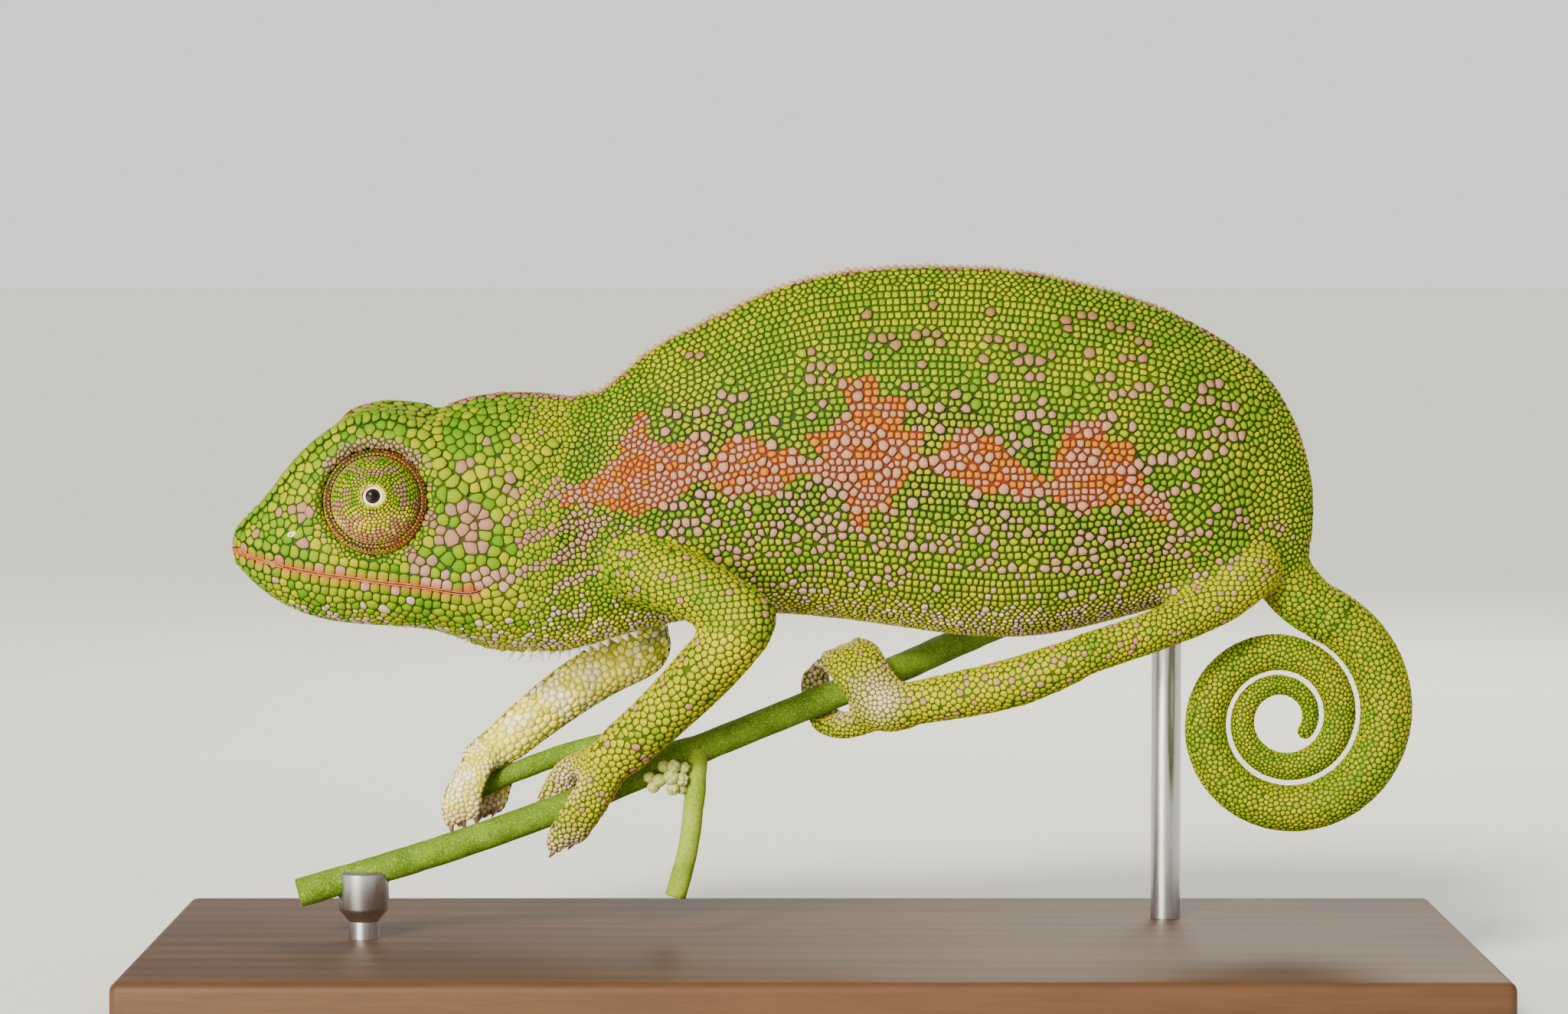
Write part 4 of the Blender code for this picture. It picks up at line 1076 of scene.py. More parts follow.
def fieldsAt(points, normals, owners):
    names = ownerNames[owners]
    x, y, z = points.T
    wobble = cloud(points * (1, 0.15, 1), 2.6, 3)
    coarse = cloud(points * (1, 0.3, 1), 6.0, 8)
    trunk = np.isin(names, ("torso", "neck"))
    head = np.isin(names, ("head", "neck"))
    feet = starts(names, "foot", "hand")
    arms = starts(names, "arm", "hand")
    limbs = starts(names, "arm", "leg", "foot", "hand")
    height = trunkShare(x, z)
    overMouth = overMouthAt(x, z)
    orange = blotchesAt(x, z, wobble)
    stripe = stripeDistance(x, z)
    band = step(0.55 - stripe + 0.3 * wobble, 0, 0.3)
    orange = np.maximum(orange, step(1.0 - stripe + 0.7 * wobble, 0, 0.4) * 0.9) * trunk
    rows = cloud(points * (0.42, 0.15, 1.25), 1.7, 17)
    mauve = np.maximum(band * 0.85, orange * step(rows, -0.02, 0.12) * 0.88) * trunk
    mauve = np.maximum(mauve, head * headMauve(x, y, z))
    least, more = marks["flankMauve"]
    lowFlank = trunk * step(height, 0.06, 0.2) * step(0.5 - height, 0, 0.22)
    mauve = np.maximum(mauve, lowFlank * (least + more * step(wobble, 0, 0.6)))
    under = np.maximum(trunk * step(0.14 - height, 0, 0.1), (names == "head") * step(-overMouth, 2.0, 5.0))
    mauve = np.maximum(mauve, under * marks["underMauve"])
    inRidge = np.maximum(step(x, -36, -34.5), step(x, -48, -47) * step(-42 - x, 0, 1))
    ridge = head * step(1.3 - np.abs(y), 0, 0.5) * inRidge * step(z, 53, 55)
    back = trunk * step(1.0 - np.abs(y), 0, 0.5) * step(height, 0.8, 0.9)
    mauve = np.maximum(mauve, np.maximum(ridge, back * 0.6) * marks["ridgeMauve"])
    belly = np.where(trunk, step(0.16 - height, 0, 0.12), 0)
    throat = np.where(names == "head", step(-overMouth, 3.0, 6.5), 0)
    farArm = starts(names, "arm_right", "hand_right")
    outside = step(normals[:, 1] * np.where(farArm, 1, -1), -0.2, 0.2)
    mauve = np.where(limbs, marks["limbMauve"] * outside, mauve)
    pale = np.maximum(belly * marks["bellyPale"], throat * marks["throatPale"])
    outward = normals[:, 1] * np.where(np.char.find(names, "right") > 0, 1, -1)
    inner = step(-outward, -0.02, 0.5)
    pale = np.where(limbs, inner * (np.where(arms, 0.92, 0.6) + 0.3 * coarse), pale)
    pale = np.where(feet & (outward > 0.1), pale * marks["outerPawPale"], pale)
    pink = np.zeros(len(points))
    pink[feet] = toeShare(points[feet])
    for creaseX, creaseZ, reach in marks["creases"]:
        near = np.exp(-((x - creaseX) ** 2 + (z - creaseZ) ** 2) / reach ** 2)
        pink = np.maximum(pink, near * 0.85 * (feet | np.char.endswith(names, "shank")))
    pink = pink * (0.8 + 0.3 * wobble)
    lilac = (trunk | head) * step(44 - z, 0, 6)
    yellow = np.where(limbs, 0.78 + 0.25 * coarse, 0.2 + 0.2 * coarse)
    yellow = np.where(np.char.endswith(names, "upper"), 0.4 + 0.3 * coarse, yellow)
    yellow = np.maximum(yellow, np.where(trunk | head, belly * 0.7 + throat * 0.72, 0))
    yellow = np.where(starts(names, "tail"), 0.35 + 0.2 * coarse, yellow)
    # Painted shade: the grooves darkened most near the stripe, under the belly and throat, and along the
    # mouth's crease
    paintedShade = trunk * step(10 - stripe, 0, 7) * (0.55 + 0.45 * step(coarse + 0.35 * wobble, 0.0, 0.4))
    paintedShade = np.maximum(paintedShade, np.maximum(belly, throat) * 0.7)
    paintedShade = np.maximum(paintedShade, head * step(0.16 - np.abs(overMouth), 0, 0.1) * step(-31 - x, 0, 1.0))
    turretX, turretZ = turret["middle"][::2]
    over = (z - turretZ) / np.maximum(np.hypot(z - turretZ, x - turretX), 0.1)
    ring = step(6.35 - socketReach(points), 0, 0.3) * head * step(over + 0.2 * wobble, 0.5, 0.75)
    made = {"mauve": mauve, "orange": orange, "pale": pale, "yellow": yellow, "paintedShade": paintedShade,
            "lips": head * lipShare(points), "ring": ring, "pink": pink, "lilac": lilac}
    return {name: np.clip(values, 0, 1) for name, values in made.items()}


def paint(mesh, values, copies=1):
    for name, value in values.items():
        addAttribute(mesh, name, np.repeat(value, copies))


markAndShadeNames = ("mauve", "orange", "pale", "yellow", "paintedShade", "lips", "ring", "pink", "lilac")

# Colours of the animal, linear. The darkest one and the groove and rim ones are colours of painted shade.
palette = {
    "green": (0.115, 0.225, 0.0),
    "headGreen": (0.072, 0.195, 0.0),
    "yellow": (0.470, 0.420, 0.0),
    "olive": (0.420, 0.290, 0.0),
    # painted shade for grooves, creases and the underside
    "paintedShade": (0.007, 0.025, 0.0),
    "mauve": (0.370, 0.185, 0.130),
    "headMauve": (0.300, 0.150, 0.105),
    "lilac": (0.480, 0.330, 0.290),
    "brown": (0.240, 0.120, 0.052),
    "orange": (0.450, 0.105, 0.014),
    "pale": (0.940, 0.870, 0.150),
    "white": (0.960, 0.890, 0.600),
    "pink": (0.800, 0.560, 0.430),
    "lips": (0.360, 0.085, 0.025),
    "ring": (0.300, 0.195, 0.120),
    # painted shade for the skin in the gaps between scales, tinted where orange or pale
    "groove": (0.15, 0.23, 0.04),
    "orangeGrooveShade": (0.31, 0.17, 0.12),
    "paleGrooveShade": (0.62, 0.58, 0.40),
    # painted shade on the low sides of scales
    "rim": (0.22, 0.26, 0.12),
    "paleRimShade": (0.70, 0.66, 0.50),
    "fleck": (0.75, 0.75, 0.7),
}


def fleshColour(finish, isScale):
    mask = {name: finish.attribute(name) for name in markAndShadeNames}
    tone = finish.attribute("tone")
    share = mask["yellow"] * 0.75 + (tone - 0.5) * 0.6
    place = {"Vector": finish.place()}
    length, height = (finish.node("SeparateXYZ", None, place, axis) / mm for axis in "XZ")
    behind = length.over(-27, 5)
    green = finish.blend(palette["headGreen"], palette["green"], behind)
    base = finish.blend(green, palette["yellow"], share)
    if isScale:
        middle = finish.attribute("rise").over(0.94, 0.05)
        base = finish.blend(base, palette["olive"], middle * tone * (0.35 + behind * 0.27))
    # painted shade in grooves and creases: strong on the skin, slight on the scales
    base = finish.blend(base, palette["paintedShade"], mask["paintedShade"] * (0.12 if isScale else 0.85))
    pale = finish.blend(palette["pale"], palette["white"], finish.noise(2.6, 3.0).over(0.54, 0.07))
    base = finish.blend(base, pale, mask["pale"])
    base = finish.blend(base, palette["orange"], mask["orange"])
    mauve = finish.blend(palette["headMauve"], palette["mauve"], length.over(-25, 4))
    mauve = finish.blend(mauve, palette["brown"], height.over(61, 7))
    mauve = finish.blend(mauve, palette["lilac"], mask["lilac"])
    base = finish.blend(base, mauve, mask["mauve"])
    for name in ("lips", "ring", "pink"):
        base = finish.blend(base, palette[name], mask[name])
    return base


def scaleFinish():
    finish = Finish("scales", 0.42, constants={"Specular IOR Level": 0.06})
    base = fleshColour(finish, True)
    rise = finish.attribute("rise")
    # Painted shade: the low sides of each scale are darkened towards the grooves, less on pale scales
    rim = finish.blend(palette["rim"], palette["paleRimShade"], finish.attribute("pale"))
    shade = finish.blend(base, rim, 1.0, "MULTIPLY")
    base = finish.blend(shade, base, rise.over(0.62, 0.32))
    fleck = finish.noise(0.16, 3.0)
    base = finish.blend(base, palette["fleck"], (fleck - 0.5) * 0.9, "MULTIPLY")
    finish.colour(base)
    finish.rough(0.45 + fleck * 0.2)
    finish.bump(finish.noise(0.07, 2.0), 0.012)
    return finish.material


def skinFinish():
    finish = Finish("skin", 0.6, constants={"Specular IOR Level": 0.15})
    base = fleshColour(finish, False)
    # Painted shade: the skin shows only in the gaps between scales and is darkened there, keeping a tint of
    # orange and pale parts
    groove = finish.blend(palette["groove"], palette["orangeGrooveShade"], finish.attribute("orange"))
    groove = finish.blend(groove, palette["paleGrooveShade"], finish.attribute("pale"))
    base = finish.blend(base, groove, 1.0, "MULTIPLY")
    finish.colour(base)
    grain = finish.noise(0.12, 3.0)
    finish.rough(0.5 + grain * 0.2)
    finish.bump(grain, 0.03)
    return finish.material


scaleLook = scaleFinish()
skinLook = skinFinish()

skinMesh = meshOf(skin, "skin")
fields = fieldsAt(skinPoints, skinNormals, skinOwner)
fields["mauve"] *= np.where(ownerNames[skinOwner] == "head", 0.75, 0.15)
fields["lips"] *= 0.4
paint(skinMesh, fields)
addAttribute(skinMesh, "tone", 0.5 + 0.3 * cloud(skinPoints, 1.4, 5))
addPiece("skin", skinMesh, skinLook, fleshNodes)
report("skin painted")

# Scale kinds: height and the seam between neighbours, in millimetres
relief = {
    "torso": {"height": 0.23, "seam": 0.05},
    "head": {"height": 0.14, "seam": 0.03},
    "neck": {"height": 0.18, "seam": 0.034},
    "limb": {"height": 0.15, "seam": 0.021},
    "toes": {"height": 0.13, "seam": 0.018},
}
# Forms of scales: directions, rings of radius and height, height of the crown, and sharpness of corners
full = scaleForm(8, ((0.92, 0.0), (1.0, 0.4), (0.82, 0.9)), 1.0)
light = scaleForm(7, ((0.94, 0.0), (1.0, 0.42), (0.87, 0.92)), 1.0, 13.0)
headForm = scaleForm(10, ((0.97, 0.0), (1.0, 0.45), (0.88, 0.93)), 1.0, 15.0)
coats = {"coat_head": (headForm, ("head",), 0, None), "coat_neck": (full, ("neck",), 0, None),
         "coat_tail": (light, tuple(n for n in fleshNodes if n.startswith("tail")), 0, None)}
for word, side in sides.items():
    for end in ("front", "rear"):
        coats[f"coat_torso_{end}_{word}"] = (full, ("torso",), side, end)
    coats["coat_arm_" + word] = (light, (f"arm_{word}_upper", f"arm_{word}_fore", "hand_" + word), 0, None)
    coats["coat_leg_" + word] = (light, (f"leg_{word}_thigh", f"leg_{word}_shank", "foot_" + word), 0, None)
torsoMiddle = 13.0
rootSink = 0.12
ownerWords = ownerNames[owners]
siteFields = fieldsAt(sites, siteNormals, owners)
chance = rng.random((4, len(sites)))
tubercle = kinds == "tubercle"
siteTone = np.clip(0.5 + 0.22 * rng.normal(size=len(sites)) + 0.18 * cloud(sites, 4.0, 6), 0, 1)
isMauve = (siteFields["mauve"] > chance[0]) | (tubercle & (chance[1] < 0.93))
headSites = np.flatnonzero(ownerWords == "head")
for x, z in marks["plates"]:
    for side in sides.values():
        found = onSkin((x, 0, z), side)
        if found is not None:
            nearest = np.linalg.norm(sites[headSites] - np.array(found[0]), axis=1).argmin()
            isMauve[headSites[nearest]] = True
isOrange = (siteFields["orange"] > 0.3 + 0.4 * chance[2]) & ~isMauve
siteMarksAndShade = dict(siteFields)
siteMarksAndShade["mauve"] = np.where(isMauve, 0.85 + 0.15 * chance[3], 0)
siteMarksAndShade["orange"] = np.where(isOrange, 0.55 + 0.45 * chance[3], siteFields["orange"] * 0.15 * ~isMauve)
onLimb = ~np.isin(ownerWords, ("torso", "neck", "head"))
isPale = (siteFields["pale"] > chance[1]) & (kinds == "loose")
strength = np.where(isMauve, 0.1, np.where(onLimb, 1.0, 0.6))
siteMarksAndShade["pale"] = np.where(isPale, 0.55 + 0.4 * chance[3], siteFields["pale"] * 0.3) * strength
siteMarksAndShade["tone"] = siteTone
siteWeights = sizes * np.where(tubercle | (isMauve & onLimb), 1.2, 1.0)
reliefKind = np.where(np.isin(ownerWords, ("torso", "head", "neck")), ownerWords, "limb")
reliefKind = np.where(starts(ownerWords, "hand", "foot"), "toes", reliefKind)
heights = np.array([relief[k]["height"] for k in reliefKind]) * (gaps / 0.7) ** 0.35
heights = heights * np.where(tubercle, 1.3, 1.0) * np.where(kinds == "bead", 1.7, 1.0)
heights = heights * rng.uniform(0.88, 1.12, len(sites))
seams = np.array([relief[k]["seam"] for k in reliefKind])
total = 0
for name, (form, members, side, end) in coats.items():
    chosen = np.isin(ownerWords, members)
    if side:
        chosen &= (sites[:, 1] < 0) == (side < 0)
        chosen &= (sites[:, 0] < torsoMiddle) == (end == "front")
    chosen = np.flatnonzero(chosen)
    if not len(chosen):
        continue
    cap = gaps * (1.0 if name == "coat_head" else 0.78)
    radii, rays = cellReach(chosen, sites, siteNormals, siteWeights, others, form, seams, cap)
    places = scaleArrays(form, radii, rays, siteNormals[chosen], sites[chosen], heights[chosen], rootSink)
    mesh = coatMesh(name, form, places, unwrapRoots(sites[chosen], owners[chosen]))
    each = places.shape[1]
    paint(mesh, {k: siteMarksAndShade[k][chosen] for k in (*markAndShadeNames, "tone") if k != "lips"}, each)
    addAttribute(mesh, "lips", (lipShare(places) * (name == "coat_head")).ravel())
    addAttribute(mesh, "rise", np.tile(form["rise"], len(chosen)))
    addPiece(name, mesh, scaleLook)
    count = sum(len(f) - 2 for f in form["faces"]) * len(chosen)
    total += count
    print(name, len(chosen), "scales,", count, "triangles")
report(f"coat of {total} triangles")

# Eye turrets: a turned form with rings of granules, and the eyeball inside
turretWall = ((0.0, 0.8), (4.5, 0.8), (5.0, 1.3), (5.5, 1.95), (5.4, 2.3), (5.08, 2.5), (5.0, 2.85),
              (4.96, 3.4), (4.78, 3.86), (4.5, 3.86), (4.33, 3.62), (4.22, 3.85), (4.08, 4.45), (3.65, 5.2),
              (2.95, 5.9), (2.15, 6.45), (1.55, 6.75), (1.25, 6.9),
              (1.05, 6.86), (0.97, 6.7), (1.05, 6.45), (1.4, 6.1), (1.95, 5.3), (2.0, 4.5), (1.4, 3.3),
              (0.0, 2.9))
turretCurve = (1, 20)  # the rows that are smoothed
granules = {"inner": 0.35, "outer": 0.47, "ring": 0.36, "from": 1.3, "height": 0.12, "seam": 0.02,
            "sink": 0.08}
lidShape = {"to": 2.0, "wider": 0.06, "lower": 0.04}


def turretMatrix(side):
    back, aim = turretFrame(side)
    return Matrix.Translation(Vector(back) * mm) @ Vector(aim).to_track_quat("Z", "X").to_matrix().to_4x4()


def turretProfile():
    # smooth from the second row to the lid's rim
    first, last = turretCurve
    smooth = curveThrough(turretWall[first:last], 5)
    return np.vstack((turretWall[:first], smooth, turretWall[last:]))


def lidded(rows):
    # draws the round rim of the lids out to an almond
    radius = np.hypot(rows[:, 0], rows[:, 1])
    share = step(lidShape["to"] - radius, 0, 0.9) * (rows[:, 2] > 5.5)
    corner = np.abs(rows[:, 1] / np.maximum(radius, 0.01)) ** 3
    made = rows.copy()
    made[:, 1] *= 1 + lidShape["wider"] * share * corner
    made[:, 0] *= 1 - lidShape["lower"] * share
    return made


def addTurret(name, side):
    rows = turretProfile()
    grid = turned(rows, 96)
    matrix = turretMatrix(side)
    local = arrayOf(grid)
    setPoints(grid, lidded(local))
    bmesh.ops.transform(grid, matrix=matrix, verts=grid.verts)
    mesh = meshOf(grid, name + "Skin")
    paint(mesh, turretFields(local, side))
    addAttribute(mesh, "tone", np.full(len(local), 0.4))
    addPiece(name + "Skin", mesh, skinLook, (name,))
    addGranules(name, side, rows, matrix)


def addGranules(name, side, rows, matrix):
    # granules in rings from the lid outwards
    wall = rows[(rows[:, 1] > 1.2)]
    last = int(np.argmin(wall[:, 0] + 100 * (wall[:, 1] < 6)))
    wall = wall[:last + 1][::-1]
    length = np.concatenate(([0], np.cumsum(np.linalg.norm(np.diff(wall, axis=0), axis=1))))
    place = length[np.argmax(wall[:, 0] > granules["from"])]
    spots, strides = [], []
    while place < length[-1] - 0.6:
        share = place / length[-1]
        radius = np.interp(place, length, wall[:, 0])
        stride = mixOf(granules["inner"], granules["outer"], step(radius, 1.3, 3.6))
        stride = mixOf(stride, granules["ring"], step(radius, 3.9, 4.2))
        count = round(2 * math.pi * radius / stride)
        first = rng.random()
        for i in range(count):
            angle = (i + first + rng.normal(0, 0.09)) * 2 * math.pi / count
            here = place + rng.normal(0, 0.035)
            r, h = np.interp(here, length, wall[:, 0]), np.interp(here, length, wall[:, 1])
            ahead = [np.interp(here + 0.05, length, wall[:, axis]) for axis in range(2)]
            tilt = math.atan2(h - ahead[1], ahead[0] - r)
            spots.append((r * math.cos(angle), r * math.sin(angle), h, math.sin(tilt) * math.cos(angle),
                          math.sin(tilt) * math.sin(angle), math.cos(tilt), angle, share))
            strides.append(stride)
        place += stride * 0.87
    spots, strides = np.array(spots), np.array(strides)
    turn = np.array(matrix.to_3x3())
    plain = spots[:, :3].copy()
    spots[:, :3] = lidded(plain)
    world = spots[:, :3] @ turn.T + np.array(matrix.translation) / mm
    facing = unit(spots[:, 3:6] @ turn.T)
    near = nearestOthers(world, 8)
    every = np.arange(len(world))
    seam = np.full(len(world), granules["seam"])
    radii, rays = cellReach(every, world, facing, strides, near, light, seam, strides * 0.7)
    heights = granules["height"] * rng.uniform(0.8, 1.2, len(world))
    places = scaleArrays(light, radii, rays, facing, world, heights, granules["sink"])
    roots = np.column_stack((0.02 + 0.96 * ((spots[:, 6] / (2 * math.pi)) % 1), 0.02 + 0.96 * spots[:, 7]))
    coat = coatMesh("coat_" + name, light, places, roots)
    values = turretFields(plain, side, True)
    values["tone"] = rng.random(len(world))
    paint(coat, values, places.shape[1])
    addAttribute(coat, "rise", np.tile(light["rise"], len(world)))
    addPiece("coat_" + name, coat, scaleLook)


def turretFields(local, side, isScale=False):
    # local points: x is towards the crown, y across, z outwards
    radius = np.hypot(local[:, 0], local[:, 1])
    up, rear = local[:, 0] / np.maximum(radius, 0.01), side * local[:, 1] / np.maximum(radius, 0.01)
    wobble = cloud(local, 1.1, 14)
    fine = rng.random(len(local)) if isScale else np.full(len(local), 0.5)
    fold = step(radius + 0.06 * wobble, 4.12, 4.3)
    down = -local[:, 0] - 0.25 * wobble
    low = step(down, 0.7, 1.5)
    pink = step(down, 1.5, 2.5) * (fine > 0.3) if isScale else step(down, 1.5, 2.5) * 0.4
    bottom = step(down, 3.0, 3.8) * (fine > 0.35)
    patches = step(wobble + 0.22 * step(radius, 2.4, 4.0), 0.22, 0.4) * step(radius, 1.7, 2.3)
    mauve = np.maximum((patches > fine) * 0.9 if isScale else patches * 0.5, bottom * 0.8)
    lid = step(1.3 - radius, 0, 0.08)
    redFold = fold * (0.62 + 0.38 * fine) * (0.35 + 0.65 * step(wobble + 0.25 * up, -0.25, 0.2))
    orange = fold * step(rear + 0.35 * wobble, 0.2, 0.6) * (fine > 0.35)
    made = {"mauve": np.maximum(mauve * (1 - fold), fold * (fine > 0.5) * 0.8),
            "orange": orange * 0.5 + pink * (fine > 0.75) * 0.35,
            "pale": np.maximum(pink * (0.35 + 0.3 * fine) * (1 - fold), lid),
            "yellow": 0.3 + 0.7 * low + 0.3 * (fine - 0.5),
            # painted shade in the gaps between granules, over the turret's lower half and in its fold
            "paintedShade": np.zeros(len(local)) if isScale else 0.75 * low + 0.6 * fold,
            "lips": np.maximum(redFold * 0.62, pink * 0.38 * (1 - fold)),
            "ring": np.zeros(len(local))}
    return {name: np.clip(values, 0, 1) for name, values in made.items()}


# Zones of the eye from the middle out: where each starts, how soft its edge is, and its colour. The last,
# dark zone is a painted shadow under the lids' rim.
eyePupil = (0.003, 0.003, 0.003)
eyeZones = ((0.46, 0.06, (0.018, 0.009, 0.004)), (0.73, 0.025, (0.90, 0.84, 0.74)),
            (0.965, 0.03, (0.02, 0.012, 0.008)))


def eyeFinish(side):
    finish = Finish("eye", 0.35, constants={"Coat Weight": 0.22, "Coat Roughness": 0.02, "Coat IOR": 1.25,
                                            "Specular IOR Level": 0.05})
    back, aim = turretFrame(side)
    centre = (back + aim * turret["eyeDepth"]) * mm
    away = finish.node("VectorMath", {"operation": "SUBTRACT"}, {0: finish.place(), 1: tuple(centre)})
    across = finish.node("VectorMath", {"operation": "CROSS_PRODUCT"}, {0: away, 1: tuple(aim)})
    reach = finish.node("VectorMath", {"operation": "LENGTH"}, {0: across}, "Value") / mm
    colour = eyePupil
    for edge, soft, tint in eyeZones:
        colour = finish.blend(colour, tint, reach.over(edge, soft))
    finish.colour(colour)
    return finish.material


def addEye(name, side):
    back, aim = turretFrame(side)
    grid = bmesh.new()
    bmesh.ops.create_uvsphere(grid, u_segments=64, v_segments=32, radius=turret["eyeRadius"] * mm)
    bmesh.ops.transform(grid, matrix=turretMatrix(side), verts=grid.verts)
    bmesh.ops.translate(grid, verts=grid.verts, vec=Vector(aim * turret["eyeDepth"]) * mm)
    addPiece(name + "Ball", meshOf(grid, name + "Ball"), eyeFinish(side), (name,))


for sideName, side in sides.items():
    addTurret("eye_turret_" + sideName, side)
    addEye("eye_" + sideName, side)
report("eyes")

# Lips: a thin smooth rim above and below the mouth line
lips = {"gap": 0.115, "radius": 0.09, "over": 0.08, "thinner": 0.55, "stride": 0.35,
        "colours": ((0.30, 0.17, 0.01), (0.27, 0.06, 0.015), (0.36, 0.16, 0.09))}


def addLips():
    grid = bmesh.new()
    for lift in (1, -1):
        rows = [(x, -y, z) for x, y, z in walk(mouthLine, lips["stride"])[::-1]]
        rows += [(x, -y, z) for x, y, z in rows[::-1]]
        placed = []
        for x, y, z in rows:
            spot, normal = onSkin((x, y, z + lift * lips["gap"]))
            spot = spot + normal * lips["over"]
            thin = lips["radius"] * (1 - lips["thinner"] * step(x, -38, -32.5))
            placed.append((spot.x, spot.y, z + lift * lips["gap"], thin))
        placed = np.array(placed)
        for turnNumber in range(2):
            placed[1:-1, :3] = (placed[:-2, :3] + placed[1:-1, :3] * 2 + placed[2:, :3]) / 4
        ringTube(grid, placed, 8)
    mesh = meshOf(grid, "lips")
    finish = Finish("lips", 0.45, constants={"Specular IOR Level": 0.3})
    ochre, red, pink = lips["colours"]
    colour = finish.blend(ochre, red, finish.noise(0.5, 2.0).over(0.42, 0.14))
    finish.colour(finish.blend(colour, pink, finish.noise(1.6, 2.0).over(0.56, 0.1)))
    finish.bump(finish.noise(0.2, 2.0), 0.02)
    addPiece("lips", mesh, finish.material)


addLips()
report("lips")

# Crests, nostrils and claws: colour at the root and at the tip, and roughness
horns = {
    "gularHorn": ((0.86, 0.84, 0.74), (0.95, 0.94, 0.90), 0.45),
    # the nostril's dark root colour is painted shade in its pit
    "dorsalHorn": ((0.25, 0.155, 0.065), (0.40, 0.25, 0.145), 0.5),
    "nostril": ((0.05, 0.03, 0.01), (0.85, 0.78, 0.50), 0.5),
    "claw": ((0.42, 0.27, 0.17), (0.17, 0.09, 0.05), 0.35),
}
spine = {"rings": 6, "sides": 8, "sunk": 0.25, "bend": 0.35, "least": 0.09}
clawPlan = {"length": 1.25, "radius": 0.35}


def hornFinish(name):
    root, tip, roughness = horns[name]
    finish = Finish(name, roughness)
    rise = finish.attribute("rise")
    colour = finish.blend(root, tip, rise.over(0.35, 0.3))
    colour = finish.blend(colour, (0.7, 0.7, 0.7), finish.noise(0.15, 3.0) * 0.6, "MULTIPLY")
    finish.colour(colour)
    finish.bump(finish.noise(0.1, 2.0), 0.015)
    return finish.material


def addSpine(grid, foot, aim, length, radius, sweep, blunt=1.4):
    # a cone that curves towards sweep, its root sunk in the skin
    foot, aim, sweep = (np.array(v, float) for v in (foot, aim, sweep))
    rows = []
    for share in np.linspace(0, 1, spine["rings"]):
        up = length * (share * (1 + spine["sunk"]) - spine["sunk"])
        centre = foot + aim * up + sweep * length * share ** 2 * spine["bend"]
        rows.append((*centre, radius * max(1 - share ** blunt, spine["least"])))
    ringTube(grid, np.array(rows), spine["sides"])


def addSpines(name, grid, finish):
    mesh = meshOf(grid, name)
    # 0 at the foot of each spine and 1 at its tip
    rise = np.repeat(np.linspace(0, 1, spine["rings"]), spine["sides"])
    addAttribute(mesh, "rise", np.tile(rise, len(mesh.vertices) // len(rise)))
    addPiece(name, mesh, finish)


def addCrest(name, plan, finish):
    grid = bmesh.new()
    for i, (place, normal) in enumerate(crestFeet(plan)):
        share = i / (plan["count"] - 1)
        length = mixOf(*plan["length"], share) * rng.uniform(0.9, 1.1)
        addSpine(grid, place, normal, length, mixOf(*plan["radius"], share), (0.5, 0, 0), plan["blunt"])
    addSpines(name + "Crest", grid, finish)


def addNostrils():
    # a pale oval rim round a pit painted dark as its shade
    grid = bmesh.new()
    for side in sides.values():
        place, normal = onSkin((nostril["x"], 0, nostril["z"]), side)
        turn = normal.to_track_quat("Z", "X").to_matrix().to_4x4() @ Matrix.Rotation(
            math.radians(nostril["turn"] * side), 4, "Z")
        shell = bmesh.ops.create_uvsphere(grid, u_segments=24, v_segments=16, radius=1.0)["verts"]
        for v in shell:
            reach = math.hypot(v.co.x, v.co.y)
            pit = 0.9 * math.exp(-(reach / 0.42) ** 2) if v.co.z > 0 else 0
            local = Vector((v.co.x * nostril["half"][0], v.co.y * nostril["half"][1],
                            (v.co.z - pit) * nostril["rise"]))
            v.co = (Vector(place) + turn.to_3x3() @ local) * mm
    mesh = meshOf(grid, "nostrils")
    count = len(mesh.vertices) // len(sides)
    middles = [np.array(onSkin((nostril["x"], 0, nostril["z"]), side)[0]) for side in sides.values()]
    places = np.array([v.co for v in mesh.vertices]) / mm
    away = np.linalg.norm(places - np.repeat(middles, count, axis=0), axis=1)
    addAttribute(mesh, "rise", np.clip(away / nostril["half"][1], 0, 1))
    addPiece("nostrils", mesh, hornFinish("nostril"))


def addClaws():
    grid = bmesh.new()
    for foot, way, inward in clawPlaces():
        addSpine(grid, foot, way, clawPlan["length"], clawPlan["radius"], inward * 0.9)
    addSpines("claws", grid, hornFinish("claw"))


whiteHorn, brownHorn = hornFinish("gularHorn"), hornFinish("dorsalHorn")
for name, plan in crests.items():
    addCrest(name, plan, whiteHorn if plan["down"] else brownHorn)
addNostrils()
addClaws()
report("crests and claws")

